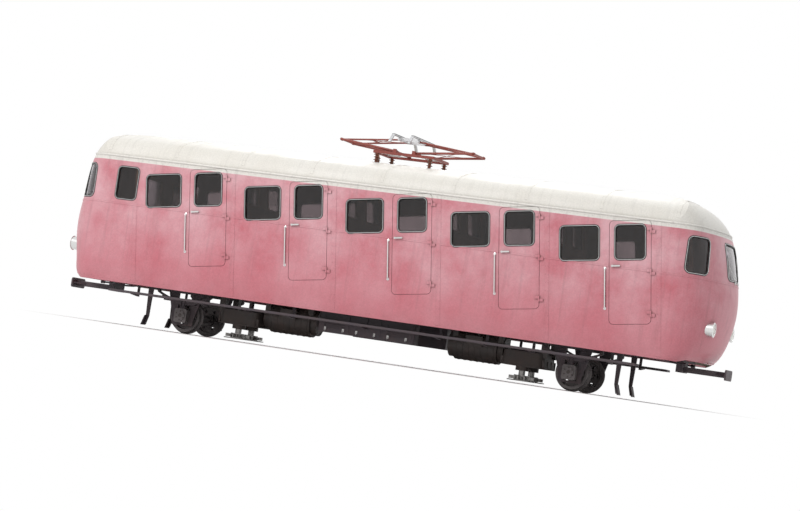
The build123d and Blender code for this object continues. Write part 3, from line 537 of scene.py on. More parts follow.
class Finish(Nodes):
    """A material in the making, round its Principled BSDF."""

    def __init__(self, name):
        self.material = bpy.data.materials.new(name)
        self.material.use_nodes = True
        super().__init__(self.material.node_tree)
        self.shader = self.tree.nodes["Principled BSDF"]

    def group(self, name, values):
        """Outputs of a shader group with its own values."""
        return self.add("ShaderNodeGroup", values, node_tree=bpy.data.node_groups[name]).outputs

    def put(self, *values):
        """Feeds inputs of the shader, given as (socket, value) pairs."""
        for label, value in values:
            self.feed(self.shader.inputs[label], value)

    def surface(self, tint, roughness, height, strength, distance):
        """Colour, roughness and relief of the material."""
        relief = self.add("ShaderNodeBump", (
            ("Strength", strength), ("Distance", distance), ("Height", height),
        ))
        self.put(("Base Color", tint), ("Roughness", roughness), ("Normal", relief.outputs[0]))

    def surface_of(self, outputs, strength, distance):
        """The same from a shader group's outputs."""
        self.surface(outputs["Color"], outputs["Roughness"], outputs["Height"], strength, distance)


SURFACE = (("Color", "Color"), ("Roughness", "Float"), ("Height", "Float"))


def shader_group(name, inputs, outputs=SURFACE):
    """New node group with named sockets: its nodes, its inputs and its outputs."""
    tree = bpy.data.node_groups.new(name, "ShaderNodeTree")
    for label, kind, default in inputs:
        socket = tree.interface.new_socket(label, in_out="INPUT", socket_type="NodeSocket" + kind)
        socket.default_value = (*default, 1) if kind == "Color" else default
    for label, kind in outputs:
        tree.interface.new_socket(label, in_out="OUTPUT", socket_type="NodeSocket" + kind)
    nodes = Nodes(tree)
    return nodes, nodes.add("NodeGroupInput").outputs, nodes.add("NodeGroupOutput").inputs


def put_out(nodes, out, *values):
    """Feeds a group's outputs in their order."""
    for socket, value in zip(out, values):
        nodes.feed(socket, value)


def weathered_paint_group():
    """Enamel that has chalked, with rain streaks, dust from below, soft ripples and painted shade
    that darkens its corners and creases.
    """
    nodes, given, out = shader_group("Weathered Paint", (
        ("Paint", "Color", (1, 0, 0)), ("Faded", "Color", (1, 0, 0)), ("Grime And Shade", "Color", (0, 0, 0)),
        ("Fade", "Float", 0.5), ("Streaks", "Float", 0.3), ("Dust Level", "Float", 1.0),
        ("Dust", "Float", 0.3), ("Runs", "Vector", (16, 16, 0.8)),
    ))
    where = nodes.where()
    level = nodes.parts(where)[2]
    cloud = nodes.between(nodes.noise(where, 1.6, 5, 0.6), 0.3, 0.7)
    faded = nodes.blend(nodes.times(cloud, given["Fade"]), given["Paint"], given["Faded"])
    speck = nodes.between(nodes.noise(where, 55, 2), 0.35, 0.75, 0.94, 1.05)
    faded = nodes.blend(1.0, faded, speck, "MULTIPLY")
    runs = nodes.noise(nodes.stretched(where, given["Runs"]), 1.0, 4, 0.6)
    runs = nodes.times(nodes.between(runs, 0.52, 0.86), given["Streaks"])
    low = nodes.between(nodes.minus(given["Dust Level"], level), -0.25, 0.55)
    rough_cloud = nodes.between(nodes.noise(where, 5, 5, 0.65), 0.25, 0.75)
    low = nodes.times(nodes.times(low, rough_cloud), given["Dust"])
    # Painted shade: ambient occlusion darkens the paint in corners, creases and beside mouldings
    shade = nodes.add("ShaderNodeAmbientOcclusion", (("Distance", 0.06),), samples=4)
    corner = nodes.between(shade.outputs["AO"], 0.35, 0.95, 0.5, 0.0)
    # Real rain streaks and dust from below, together with the painted corner shade
    dirt_and_corner_shade = nodes.larger(nodes.larger(runs, low), corner)
    ripple = nodes.times(nodes.noise(where, 2.2, 2), 0.8)
    put_out(
        nodes, out, nodes.blend(dirt_and_corner_shade, faded, given["Grime And Shade"]),
        nodes.between(nodes.plus(nodes.times(cloud, 0.5), dirt_and_corner_shade), 0.0, 1.2, 0.38, 0.8),
        nodes.plus(ripple, nodes.times(nodes.noise(where, 160, 2), 0.02)),
    )


def settled_dust_group():
    """Dust that lies on upper faces and gathers near the rails."""
    nodes, given, out = shader_group("Settled Dust", (
        ("Base", "Color", (0.1, 0.1, 0.1)), ("Dust Color", "Color", (0.2, 0.15, 0.1)),
        ("Amount", "Float", 0.5), ("Top", "Float", 0.8), ("Shine", "Float", 0.5),
    ))
    coordinates = nodes.add("ShaderNodeTexCoord").outputs
    where = coordinates["Object"]
    facing = nodes.parts(coordinates["Normal"])[2]
    cloud = nodes.between(nodes.noise(where, 4.5, 6, 0.65), 0.3, 0.72)
    grit = nodes.between(nodes.noise(where, 90, 3), 0.3, 0.7)
    low = nodes.between(nodes.minus(given["Top"], nodes.parts(where)[2]), -0.2, 0.7, 0.25, 1)
    dust = nodes.times(nodes.larger(low, nodes.between(facing, 0.2, 0.95)), cloud)
    dust = nodes.times(dust, given["Amount"], clamp=True)
    tint = nodes.blend(dust, given["Base"], given["Dust Color"])
    gritty = nodes.blend(1.0, tint, nodes.between(grit, 0, 1, 0.6, 1.4), "MULTIPLY")
    put_out(
        nodes, out, nodes.blend(0.35, tint, gritty),
        nodes.between(dust, 0, 1, given["Shine"], 0.92),
        nodes.plus(nodes.times(grit, 0.25), nodes.times(cloud, 0.35)),
    )


def wood_grain_group():
    """Varnished boards with long grain and darker pores."""
    nodes, given, out = shader_group("Wood Grain", (
        ("Light", "Color", (0.4, 0.2, 0.1)), ("Dark", "Color", (0.2, 0.1, 0.05)),
        ("Stretch", "Vector", (9.0, 1.0, 9.0)), ("Wear", "Float", 0.3),
    ))
    where = nodes.where()
    boards = nodes.stretched(where, given["Stretch"])
    grain = nodes.noise(boards, 6, 6, 0.65)
    pores = nodes.between(nodes.noise(boards, 40, 2), 0.55, 0.75)
    share = nodes.plus(nodes.between(grain, 0.35, 0.7), nodes.times(pores, 0.35), clamp=True)
    worn = nodes.times(nodes.between(nodes.noise(where, 3), 0.45, 0.7), given["Wear"])
    tint = nodes.blend(share, given["Light"], given["Dark"])
    put_out(
        nodes, out, nodes.blend(worn, tint, given["Light"]),
        nodes.between(worn, 0, 0.5, 0.28, 0.6), nodes.plus(grain, nodes.times(pores, -0.4)),
    )


def brushed_metal_group():
    """Fine lines and handling marks in bare or plated metal."""
    nodes, given, out = shader_group("Brushed Metal", (
        ("Metal", "Color", (0.6, 0.6, 0.6)), ("Tarnish", "Color", (0.2, 0.18, 0.15)),
        ("Lines", "Vector", (2.0, 60.0, 60.0)), ("Polish", "Float", 0.3), ("Age", "Float", 0.3),
    ))
    where = nodes.where()
    lines = nodes.noise(nodes.stretched(where, given["Lines"]), 8, 3, 0.6)
    spots = nodes.between(nodes.noise(where, 14, 5, 0.7), 0.5, 0.8)
    age = nodes.times(spots, given["Age"])
    rough = nodes.plus(given["Polish"], nodes.between(lines, 0.3, 0.7, -0.06, 0.1))
    put_out(
        nodes, out, nodes.blend(age, given["Metal"], given["Tarnish"]),
        nodes.plus(rough, nodes.times(age, 0.6)), lines,
    )


def inner_side_group():
    """Mask of the body's inner faces: white where a face looks into the car."""
    nodes, given, out = shader_group(
        "Inner Side", (("Straight Half", "Float", 4.4), ("Middle Height", "Float", 1.9)),
        (("Mask", "Float"),),
    )
    coordinates = nodes.add("ShaderNodeTexCoord").outputs
    x, y, z = nodes.parts(coordinates["Object"])
    beyond = nodes.larger(nodes.minus(nodes.unsigned(x), given["Straight Half"]), 0.0)
    beyond = nodes.times(beyond, nodes.maths("SIGN", x))
    high = nodes.larger(nodes.minus(z, given["Middle Height"]), 0.0)
    arm = nodes.add("ShaderNodeCombineXYZ", ((0, beyond), (1, y), (2, high))).outputs[0]
    facing = nodes.add(
        "ShaderNodeVectorMath", ((0, arm), (1, coordinates["Normal"])), operation="DOT_PRODUCT"
    ).outputs["Value"]
    put_out(nodes, out, nodes.below(facing, -0.12))


def outside_paint(nodes, z):
    """Rose-red enamel with a cream band under the roof: colour, and the red's surface."""
    red = nodes.group("Weathered Paint", (
        ("Paint", "body"), ("Faded", "body_faded"), ("Grime And Shade", "grime_and_shade"),
        # The red grows paler towards the top of the sides
        ("Fade", nodes.between(z, 0.9, 2.0, 0.35, 1.25)), ("Streaks", 0.22),
        ("Dust Level", 0.72), ("Dust", 0.45),
    ))
    cream = nodes.group("Weathered Paint", (
        ("Paint", "roof"), ("Faded", "roof"), ("Grime And Shade", "grime_and_shade"), ("Fade", 0.3), ("Streaks", 0.3),
        ("Dust Level", 0.0), ("Dust", 0.0),
    ))
    band = nodes.above(z, CANTRAIL_Z - sizes().band)
    nodes.put(("Coat Weight", 0.18), ("Coat Roughness", 0.25))
    return nodes.blend(band, red["Color"], cream["Color"]), red


def body_paint(nodes):
    """Painted skin with a pale lining inside and bright door handles."""
    size = sizes()
    x, y, z = nodes.parts(nodes.where())
    outside, red = outside_paint(nodes, z)
    inner = nodes.group("Inner Side", (("Straight Half", STRAIGHT_END),))["Mask"]
    tint = nodes.blend(inner, outside, "lining")
    proud = nodes.above(nodes.unsigned(y), size.skin_y + HANDLE_PROUD)
    hinge_x, next_x = (PIVOTS[f"door_right_{n}"].x for n in (1, 2))
    pitch = next_x - hinge_x
    bays_along = nodes.maths("DIVIDE", nodes.minus(x, hinge_x - pitch * len(BAYS)), pitch)
    near_lock = nodes.maths(
        "COMPARE", nodes.maths("FRACT", bays_along), 1 + size.handle_x / pitch,
        size.handle_length / pitch / 2 + HANDLE_MARGIN,
    )
    handle = nodes.times(proud, near_lock)
    nodes.surface(
        nodes.blend(handle, tint, (0.62, 0.61, 0.60)),
        nodes.minus(red["Roughness"], nodes.times(handle, 0.2)), red["Height"], 0.35, 0.004,
    )
    nodes.put(("Metallic", handle))


def trim_paint(nodes):
    """The same paint on mouldings, cover strips and rivets."""
    outside, red = outside_paint(nodes, nodes.parts(nodes.where())[2])
    nodes.surface(outside, red["Roughness"], red["Height"], 0.35, 0.004)


def roof_paint(nodes):
    """Cream roof with soot towards the middle."""
    top = nodes.between(nodes.parts(nodes.where())[2], ROOF_Z - 0.12, ROOF_Z, 0.0, 0.25)
    nodes.surface_of(nodes.group("Weathered Paint", (
        ("Paint", "roof"), ("Faded", (0.78, 0.75, 0.68)), ("Grime And Shade", "grime_and_shade"), ("Fade", 0.6),
        ("Streaks", nodes.plus(top, 0.16)), ("Dust Level", 0.0), ("Dust", 0.0),
        ("Runs", (14, 0.9, 0.8)),
    )), 0.35, 0.004)


def glass(nodes, tint, roughness=0.02):
    """Tinted pane that light passes."""
    film = nodes.noise(nodes.stretched(nodes.where(), (3, 3, 1.2)), 2.2, 4, 0.6)
    nodes.put(
        ("Transmission Weight", 1.0), ("IOR", 1.45),
        ("Base Color", nodes.blend(
            nodes.between(film, 0.35, 0.75), tint, [share * 0.8 for share in tint]
        )),
        ("Roughness", nodes.between(film, 0.3, 0.8, roughness, 0.12)),
    )


def dust_over(nodes, base, amount, top, shine, dust="brake_dust"):
    """Outputs of the dust group over a base colour."""
    return nodes.group("Settled Dust", (
        ("Base", base), ("Dust Color", dust), ("Amount", amount), ("Top", top), ("Shine", shine),
    ))


def dusty(nodes, *values):
    """Painted or raw metal of the running gear under a coat of dust."""
    nodes.surface_of(dust_over(nodes, *values), 0.5, 0.0015)


def running_iron(nodes):
    """Rusty wheels with bright treads and flanges, and dark axleboxes and cases."""
    dust = dust_over(nodes, (0.075, 0.055, 0.05), 0.85, 0.5, 0.55)
    x, y, z = nodes.parts(nodes.where())
    run = nodes.minus(nodes.unsigned(x), AXLE_X)
    rise = nodes.minus(z, AXLE_Z)
    radius = nodes.maths("SQRT", nodes.plus(nodes.times(run, run), nodes.times(rise, rise)))
    wide = nodes.unsigned(y)
    ring, tyre = (
        nodes.times(nodes.above(value, low), nodes.below(value, high))
        for value, (low, high) in ((radius, BRIGHT_RADII), (wide, BRIGHT_SIDES))
    )
    bright = nodes.times(ring, tyre)
    nodes.surface(
        nodes.blend(bright, dust["Color"], (0.42, 0.40, 0.38)),
        nodes.minus(dust["Roughness"], nodes.times(bright, 0.45)), dust["Height"], 0.5, 0.0015,
    )
    nodes.put(("Metallic", bright))


def metal(nodes, tint, tarnish, polish=0.3, age=0.3):
    """Bare or plated metal."""
    nodes.surface_of(nodes.group("Brushed Metal", (
        ("Metal", tint), ("Tarnish", tarnish), ("Polish", polish), ("Age", age),
    )), 0.15, 0.0005)
    nodes.put(("Metallic", 1.0))


def wood(nodes, light, dark, stretch, wear=0.4):
    """Varnished wood."""
    nodes.surface_of(nodes.group("Wood Grain", (
        ("Light", light), ("Dark", dark), ("Stretch", stretch), ("Wear", wear),
    )), 0.25, 0.0008)
    nodes.put(("Coat Weight", 0.3), ("Coat Roughness", 0.2))


def pantograph_paint(nodes):
    """Red oxide base and arms, and brown glaze on the insulators near the roof."""
    dust = dust_over(nodes, "panto", 0.35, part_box("panto_base")[0].z, 0.42, "grime_and_shade")
    glazed = nodes.below(nodes.parts(nodes.where())[2], PANTO_SHAFT_Z - INSULATOR_DROP)
    nodes.surface(
        nodes.blend(glazed, dust["Color"], "porcelain"),
        nodes.minus(dust["Roughness"], nodes.times(glazed, 0.25)), dust["Height"], 0.25, 0.001,
    )


def contact_metal(nodes):
    """Aluminium head with dark carbon along the top of its strips."""
    head = nodes.group("Brushed Metal", (
        ("Metal", (0.55, 0.55, 0.56)), ("Tarnish", (0.12, 0.11, 0.1)),
        ("Lines", (60.0, 2.0, 60.0)), ("Polish", 0.38), ("Age", 0.6),
    ))
    carbon = nodes.above(nodes.parts(nodes.where())[2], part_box("panto_head")[1].z - CARBON)
    nodes.surface(nodes.blend(carbon, head["Color"], (0.035, 0.034, 0.036)), head["Roughness"],
                  head["Height"], 0.15, 0.0005)
    nodes.put(("Metallic", nodes.minus(1.0, carbon)))


def rubber(nodes):
    """Matt black rubber with a grey bloom."""
    bloom = nodes.between(nodes.noise(nodes.where(), 18, 5, 0.7), 0.35, 0.8)
    nodes.surface(nodes.blend(nodes.times(bloom, 0.5), "rubber", (0.09, 0.085, 0.08)),
                  nodes.between(bloom, 0, 1, 0.55, 0.85), bloom, 0.15, 0.0005)


def floor_sheet(nodes):
    """Speckled floor covering, worn paler where people step."""
    where = nodes.where()
    fleck = nodes.between(nodes.noise(where, 130, 2), 0.45, 0.6)
    worn = nodes.between(nodes.noise(where, 1.6, 4), 0.4, 0.7)
    tint = nodes.blend(fleck, (0.11, 0.085, 0.07), (0.2, 0.165, 0.13))
    nodes.surface(nodes.blend(nodes.times(worn, 0.4), tint, (0.3, 0.27, 0.22)),
                  nodes.between(worn, 0, 1, 0.45, 0.75), fleck, 0.1, 0.0005)


# Each finish with its maker and the maker's values
MAKERS = {
    "body_paint": (body_paint,),
    "trim_paint": (trim_paint,),
    "roof_paint": (roof_paint,),
    "pane": (glass, (0.36, 0.31, 0.32)),
    "nose_pane": (glass, (0.55, 0.50, 0.54)),
    "hatch_pane": (glass, (0.85, 0.85, 0.84)),
    "lamp_glass": (glass, (0.95, 0.94, 0.9), 0.05),
    "frame_grey": (dusty, "underframe", 0.55, 0.55, 0.5),
    "running_iron": (running_iron,),
    "case_iron": (dusty, (0.07, 0.062, 0.06), 0.75, 0.5, 0.45),
    "tooth_steel": (metal, (0.3, 0.29, 0.28), (0.05, 0.04, 0.035), 0.32, 0.9),
    "contact_metal": (contact_metal,),
    "pantograph_paint": (pantograph_paint,),
    "bright_metal": (metal, (0.72, 0.72, 0.71), (0.3, 0.29, 0.27), 0.2, 0.25),
    "trim_metal": (metal, (0.55, 0.54, 0.53), (0.25, 0.23, 0.22), 0.36, 0.4),
    "porcelain": (dusty, "porcelain", 0.2, 0.0, 0.15),
    "dial_white": (dusty, (0.75, 0.74, 0.7), 0.1, 0.0, 0.4),
    "copper": (metal, (0.48, 0.2, 0.11), (0.1, 0.07, 0.05), 0.4, 0.8),
    "rubber_black": (rubber,),
    "floor_sheet": (floor_sheet,),
    "bench_wood": (wood, "bench", "bench_dark", (9, 1, 9)),
    "partition_wood": (wood, (0.46, 0.27, 0.13), (0.27, 0.13, 0.055), (9, 9, 1), 0.2),
    "desk_paint": (dusty, (0.11, 0.13, 0.12), 0.25, 0.4, 0.38),
    "lining_paint": (dusty, "lining", 0.12, 0.3, 0.5),
}


def finish(name):
    """Material by name, made the first time that it is asked for."""
    if name not in bpy.data.materials:
        maker, *values = MAKERS[name]
        maker(Finish(name), *values)
    return bpy.data.materials[name]


def seal_window(shape, places, inset):
    """Rubber bead over an opening's edge, with a bright filler strip set in it."""
    shape.finish = 0
    shape.rim(places, (
        (-0.012, -inset), (-0.012, 0.002), (-0.007, 0.0065), (0.012, 0.0065), (0.018, 0.001),
        (0.018, -0.0004), (-0.0002, -0.0004), (-0.0002, -inset),
    ))
    shape.finish = 1
    shape.rim(places, ((0.0, 0.0055), (0.001, 0.0085), (0.006, 0.0085), (0.007, 0.0055)))


def seal_side_window(shape, side, centre, width, leaning=True):
    """Seal of a window in a side, which stands on the skin."""
    size = sizes()
    across, up = (ALONG, PLUMB) if leaning else (X, Z)
    places = window_places(centre, across * -side, up, Y * side, width, size.window_height,
                           size.window_radius)
    seal_window(shape, places, size.glass_inset - 0.0005)


def mouldings():
    """Height, depth and projection of the waist, skirt and gutter mouldings."""
    return ((sizes().waist_z, 0.022, 0.006), (SKIRT_Z + 0.013, 0.026, 0.006),
            (CANTRAIL_Z - 0.004, 0.03, 0.016))


def half_round(height, proud):
    """Section of a half-round strip, as (up, proud) points."""
    return ((-height / 2, SUNK), (-height * 0.4, proud * 0.7), (0, proud),
            (height * 0.4, proud * 0.7), (height / 2, SUNK))


def moulding(shape, side, start, end, z, height, proud):
    """Half-round strip along a straight side."""
    y = sizes().skin_y
    shape.loft([[at(x, side * (y + b), z + a) for a, b in half_round(height, proud)]
                for x in (start, end)])


class RAILCAR_OT_dress_nodes(bpy.types.Operator):
    """Give every carried-over node its finish"""

    bl_idname = "railcar.dress_nodes"
    bl_label = "Finishes"

    FINISHES = (
        ("body_paint", ("side_wall_", "door_", "nose_uphill", "nose_downhill")),
        ("roof_paint", ("roof",)),
        ("pane", ("side_windows",)),
        ("nose_pane", ("nose_glass_",)),
        ("bright_metal", ("headlamps",)),
        ("frame_grey", ("underframe", "axle_guards", "leaf_springs", "rail_guards",
                        "footboards", "equipment_boxes", "buffers")),
        ("running_iron", ("wheelset_", "axleboxes")),
        ("case_iron", ("drive_housing_", "traction_motors")),
        ("tooth_steel", ("pinion_",)),
        ("floor_sheet", ("floor",)),
        ("partition_wood", ("partitions",)),
        ("bench_wood", ("benches",)),
        ("desk_paint", ("driver_desks",)),
        ("pantograph_paint", ("panto_base", "panto_lower_", "panto_upper_")),
        ("contact_metal", ("panto_head",)),
    )

    def execute(self, context):
        for name, node in frame["nodes"].items():
            found = [label for label, starts in self.FINISHES if name.startswith(starts)]
            if not found:
                raise ValueError(f"no finish is set for {name}")
            node.data.materials.clear()
            node.data.materials.append(finish(found[0]))
        return {"FINISHED"}


class RAILCAR_OT_side_windows(bpy.types.Operator):
    """Seal the fixed windows and the uphill cab's windows"""

    bl_idname = "railcar.side_windows"
    bl_label = "Side windows"

    def execute(self, context):
        size = sizes()
        shape = Shape()
        for side in BOTH:
            for number in BAYS:
                centre = bay_point(side, number, size.fixed_u, 0, size.skin_y)
                seal_side_window(shape, side, centre, size.fixed_width)
            centre = at(size.cab_x, side * size.skin_y, size.window_z)
            seal_side_window(shape, side, centre, size.cab_width, leaning=False)
        shape.place("side_window_seals", "window_glass", "rubber_black", "bright_metal")
        return {"FINISHED"}


class RAILCAR_OT_doors(bpy.types.Operator):
    """Glaze and trim each door, so that pane, seal and mouldings swing with it"""

    bl_idname = "railcar.doors"
    bl_label = "Doors"

    def execute(self, context):
        size = sizes()
        for side, name in SIDES:
            for number in BAYS:
                door = f"door_{name}_{number}"
                centre = bay_point(side, number, size.door_pane_u, 0, size.skin_y)
                pane = Shape()
                pane.prism(
                    pane_outline(size.door_pane_width, size.window_height, size.window_radius),
                    centre - Y * (side * (size.glass_inset + size.glass)),
                    ALONG * -side, PLUMB, size.glass,
                )
                pane.place(f"pane_{name}_{number}", "window_glass", "pane", body=door)
                trim = Shape()
                seal_side_window(trim, side, centre, size.door_pane_width)
                trim.finish = 2
                far, near = door_edges(side, number)
                moulding(trim, side, far + 0.003, near - 0.003, *mouldings()[0])
                self.inner_lock(trim, side, number)
                trim.place(f"door_trim_{name}_{number}", "body_red", "rubber_black",
                           "bright_metal", "trim_paint", body=door)
        return {"FINISHED"}

    def inner_lock(self, shape, side, number):
        """Lock case, lever and drop-window pull inside a door."""
        size = sizes()
        y = size.skin_y - size.door_thickness
        out = Y * -side
        lock = bay_point(side, number, size.door_edge - size.door_width + 0.095, -0.33, y)
        shape.finish = 1
        shape.box(lock + out * 0.007, (0.06, 0.015, 0.15), ALONG, PLUMB)
        shape.turned(((0, 0.012), (0.016, 0.012), (0.014, 0.03), (0, 0.03)), lock, out, 20)
        shape.tube([lock + out * 0.026, lock + out * 0.030 + ALONG * 0.1], 0.007)
        shape.finish = 0
        sill = bay_point(side, number, size.door_pane_u, -0.275, y)
        shape.box(sill + out * 0.008, (0.40, 0.018, 0.03), ALONG, PLUMB)


class RAILCAR_OT_body_trim(bpy.types.Operator):
    """Put mouldings, gutters, cover strips and rivets on the body"""

    bl_idname = "railcar.body_trim"
    bl_label = "Body trim"

    door_gap: length("Door gap", "From a door's edge to the waist moulding", 0.009)
    hinge_gap: length("Hinge gap", "The same beside the hinges, beyond the door gap", 0.02)
    strip_half: length("Cover strip", "Half its width", 0.032)
    strip_proud: length("Cover strip depth", "How far it stands out", 0.003)
    rivet_shift: length("Strip rivets", "From the strip's middle", 0.019)

    def execute(self, context):
        size = sizes()
        strips, rivets = Shape(), Shape()
        waist, *others = mouldings()
        count = int(2 * STRAIGHT_END / size.rivet_pitch)
        for side in BOTH:
            edges = [-STRAIGHT_END]
            for number in BAYS:
                far, near = door_edges(side, number)
                edges += [far - self.door_gap, near + self.door_gap + self.hinge_gap]
            edges.append(STRAIGHT_END)
            for start, end in zip(edges[::2], edges[1::2]):
                moulding(strips, side, start, end, *waist)
            for level in others:
                moulding(strips, side, -STRAIGHT_END, STRAIGHT_END, *level)
            self.cover_strips(strips, rivets, side)
            for x in evenly(-STRAIGHT_END, STRAIGHT_END, count):
                for z in RIVET_ROWS:
                    rivets.dome(at(x, side * size.skin_y, z), Y * side, size.rivet)
        for end in BOTH:
            for z, height, proud in (waist, *others):
                strips.rim(round_the_nose(end, z), half_round(height, proud), loop=False)
            for z in RIVET_ROWS:
                for point, up, normal in round_the_nose(end, z, steps=26)[1:-1]:
                    rivets.dome(point, normal, size.rivet)
        strips.place("body_mouldings", "body_red", "trim_paint")
        rivets.place("body_rivets", "body_red", "trim_paint")
        return {"FINISHED"}

    def cover_strips(self, strips, rivets, side):
        """Flat strips over the panel joints at the partitions, each with two rivet rows.

        The first one stops below the uphill cab's window and goes on above it.
        """
        size = sizes()
        low, high = SKIRT_Z + 0.03, CANTRAIL_Z - 0.022
        half, face = self.strip_half, size.skin_y + self.strip_proud
        clear = size.window_height / 2 + 0.03
        (number, u), *others = walls()
        places = [(number, u, low, size.window_z - clear), (number, u, size.window_z + clear, high)]
        places += [(number, u, low, high) for number, u in others]
        for number, u, bottom, top in places:
            foot, head = (side_x(side, number, u, z) for z in (bottom, top))
            outline = ((foot - half, bottom), (foot + half, bottom),
                       (head + half, top), (head - half, top))
            strips.loft([[at(x, side * y, z) for x, z in outline]
                         for y in (size.skin_y + SUNK, face)])
            for z in evenly(bottom, top, int((top - bottom) / size.rivet_pitch))[1:-1]:
                middle = side_x(side, number, u, z)
                for shift in (-self.rivet_shift, self.rivet_shift):
                    rivets.dome(at(middle + shift, side * face, z), Y * side, size.rivet * 0.85)


class RAILCAR_OT_grab_rails(bpy.types.Operator):
    """Fit a grab rail beside every door"""

    bl_idname = "railcar.grab_rails"
    bl_label = "Grab rails"

    rail_u: length("Rail place", "From the hinge line", -0.655)
    low: length("Foot", "Below the windows' middle", -0.92)
    high: length("Head", "Below the windows' middle", -0.36)
    stand: length("Stand", "From the skin to the rail's middle", 0.0195)

    ROSETTE = ((0, 0), (0.02, 0), (0.02, 0.003), (0.011, 0.006), (0, 0.006))

    def execute(self, context):
        y = sizes().skin_y
        shape = Shape()
        bend = self.stand * 0.75
        route = ((self.low, 0.0), (self.low, bend), (self.low + 0.02, self.stand),
                 (self.high - 0.02, self.stand), (self.high, bend), (self.high, 0.0))
        for side in BOTH:
            for number in BAYS:
                shape.tube([bay_point(side, number, self.rail_u, w, y + out) for w, out in route],
                           0.009, 12)
                for w in (self.low, self.high):
                    foot = bay_point(side, number, self.rail_u, w, y + SUNK)
                    shape.turned(self.ROSETTE, foot, Y * side, 20)
        shape.place("grab_rails", "lamp_metal", "bright_metal")
        return {"FINISHED"}


class RAILCAR_OT_nose_windows(bpy.types.Operator):
    """Seal the nose glass and fit the wipers"""

    bl_idname = "railcar.nose_windows"
    bl_label = "Nose windows"

    lip: length("Lip", "From an opening's edge to the skin that is looked for", 0.008)
    seal_depth: length("Seal depth", "How deep a seal reaches in", 0.014)

    HUB = ((0, 0), (0.018, 0), (0.018, 0.018), (0.013, 0.024), (0, 0.024))
    # Places on the nose, from the middle and above the rails, and the arm's lift off the glass
    BLADE = ((0.315, 1.90), (0.30, 2.05), (0.285, 2.20))
    ARM = ((0.09, 1.835, 0.014), (0.2, 1.94, 0.022), (0.30, 2.05, 0.02))

    def execute(self, context):
        size = sizes()
        seals, wipers = Shape(), Shape()
        for end in BOTH:
            for turn, width in ((0, size.front_width), (1, size.corner_width),
                                (-1, size.corner_width)):
                angle = radians(45) * turn
                look = at(end * cos(angle), sin(angle), 0)
                across = at(-end * sin(angle), cos(angle), 0)
                foot = at(end * STRAIGHT_END, size.corner_y * turn, size.nose_glass_z)
                places = []
                outline = rounded_outline(width, size.nose_glass_height, size.nose_glass_radius)
                for p, out in with_points_between(outline, 0.025):
                    spread = p + out * self.lip
                    start = foot + across * spread.x + Z * spread.y + look * 2
                    point, normal = skin_hit(start, -look)
                    leads = along_skin(across * out.x + Z * out.y, normal)
                    places.append((point - leads * self.lip, leads, normal))
                seal_window(seals, places, self.seal_depth)
            for side in BOTH:
                self.wiper(wipers, end, side)
        seals.place("nose_glass_seals", "window_glass", "rubber_black", "bright_metal")
        wipers.place("wipers", "lamp_metal", "trim_metal", "rubber_black")
        return {"FINISHED"}

    def on_glass(self, end, y, z, lift):
        """Point above the nose's skin or glass."""
        point, normal = skin_hit(at(end * (NOSE_TIP + 1), y, z), X * -end, tree=GLAZED_NOSES)
        return point + normal * lift

    def wiper(self, shape, end, side):
        """Wiper arm below the front glass, with its blade at rest."""
        pivot_y, pivot_z, lift = self.ARM[0]
        shape.finish = 0
        shape.turned(self.HUB, self.on_glass(end, side * pivot_y, pivot_z, -0.004), X * end, 20)
        shape.tube([self.on_glass(end, side * y, z, lift) for y, z, lift in self.ARM], 0.0045, 8)
        for label, lift, radius in ((0, 0.013, 0.0045), (1, 0.006, 0.004)):
            shape.finish = label
            shape.tube([self.on_glass(end, side * y, z, lift) for y, z in self.BLADE], radius, 8)


class RAILCAR_OT_headlamps(bpy.types.Operator):
    """Make the headlamps with bezels, reflectors, bulbs and lenses"""

    bl_idname = "railcar.headlamps"
    bl_label = "Headlamps"

    BULB = ((0, 0.08), (0.011, 0.09), (0.014, 0.112), (0.009, 0.124), (0, 0.127))

    def execute(self, context):
        size = sizes()
        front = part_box("headlamps")[1].x
        shells, lenses = Shape(), Shape()
        r = size.lamp_radius
        shell = (
            (0, 0), (r, 0), (r, 0.146), (r + 0.009, 0.148), (r + 0.009, 0.153),
            (r, 0.160), (r - 0.008, 0.163), (r - 0.015, 0.160), (r - 0.017, 0.152),
            (r * 0.62, 0.112), (r * 0.3, 0.09), (0, 0.085),
        )
        lens = (
            (0, 0.168), (r * 0.3, 0.1672), (r * 0.6, 0.1635), (r - 0.016, 0.1565),
            (r - 0.016, 0.1525), (r * 0.6, 0.159), (r * 0.3, 0.1625), (0, 0.163),
        )
        for end, side in CORNERS:
            back = at(end * (front - size.lamp_depth), side * size.lamp_y, size.lamp_z)
            shells.turned(shell, back, X * end, 40)
            shells.turned(self.BULB, back, X * end, 16)
            lenses.turned(lens, back, X * end, 40)
        unit = shells.place("headlamp_units", "lamp_metal", "bright_metal")
        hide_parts("headlamps")
        lenses.place("headlamp_lenses", "window_glass", "lamp_glass")
        return {"FINISHED"}


class RAILCAR_OT_roof_trim(bpy.types.Operator):
    """Run cover strips over the roof's joints"""

    bl_idname = "railcar.roof_trim"
    bl_label = "Roof trim"

    strips: IntProperty(name="Strips", description="Joints across the roof", default=9)
    steps: IntProperty(name="Steps", description="Pieces of half a strip", default=56)
    proud: length("Strip depth", "How far a strip stands out", 0.0035)

    def execute(self, context):
        shape, rivets = Shape(), Shape()
        section = ((-0.024, SUNK), (-0.022, self.proud), (0.022, self.proud), (0.024, SUNK))
        for x in evenly(-STRAIGHT_END, STRAIGHT_END, self.strips - 1):
            places = []
            for angle in evenly(-radians(84), radians(84), 2 * self.steps):
                out = at(0, sin(angle), cos(angle))
                point, normal = skin_hit(at(x, 0, CANTRAIL_Z - 0.05) + out * 3, -out)
                places.append((point, along_skin(X, normal), normal))
            shape.rim(places, section, loop=False)
            for point, across, normal in places[3:-1:4]:
                for shift in (-0.014, 0.014):
                    rivets.dome(point + across * shift + normal * self.proud, normal,
                                sizes().rivet * 0.8)
        shape.place("roof_strips", "roof_cream", "roof_paint")
        rivets.place("roof_rivets", "roof_cream", "roof_paint")
        return {"FINISHED"}


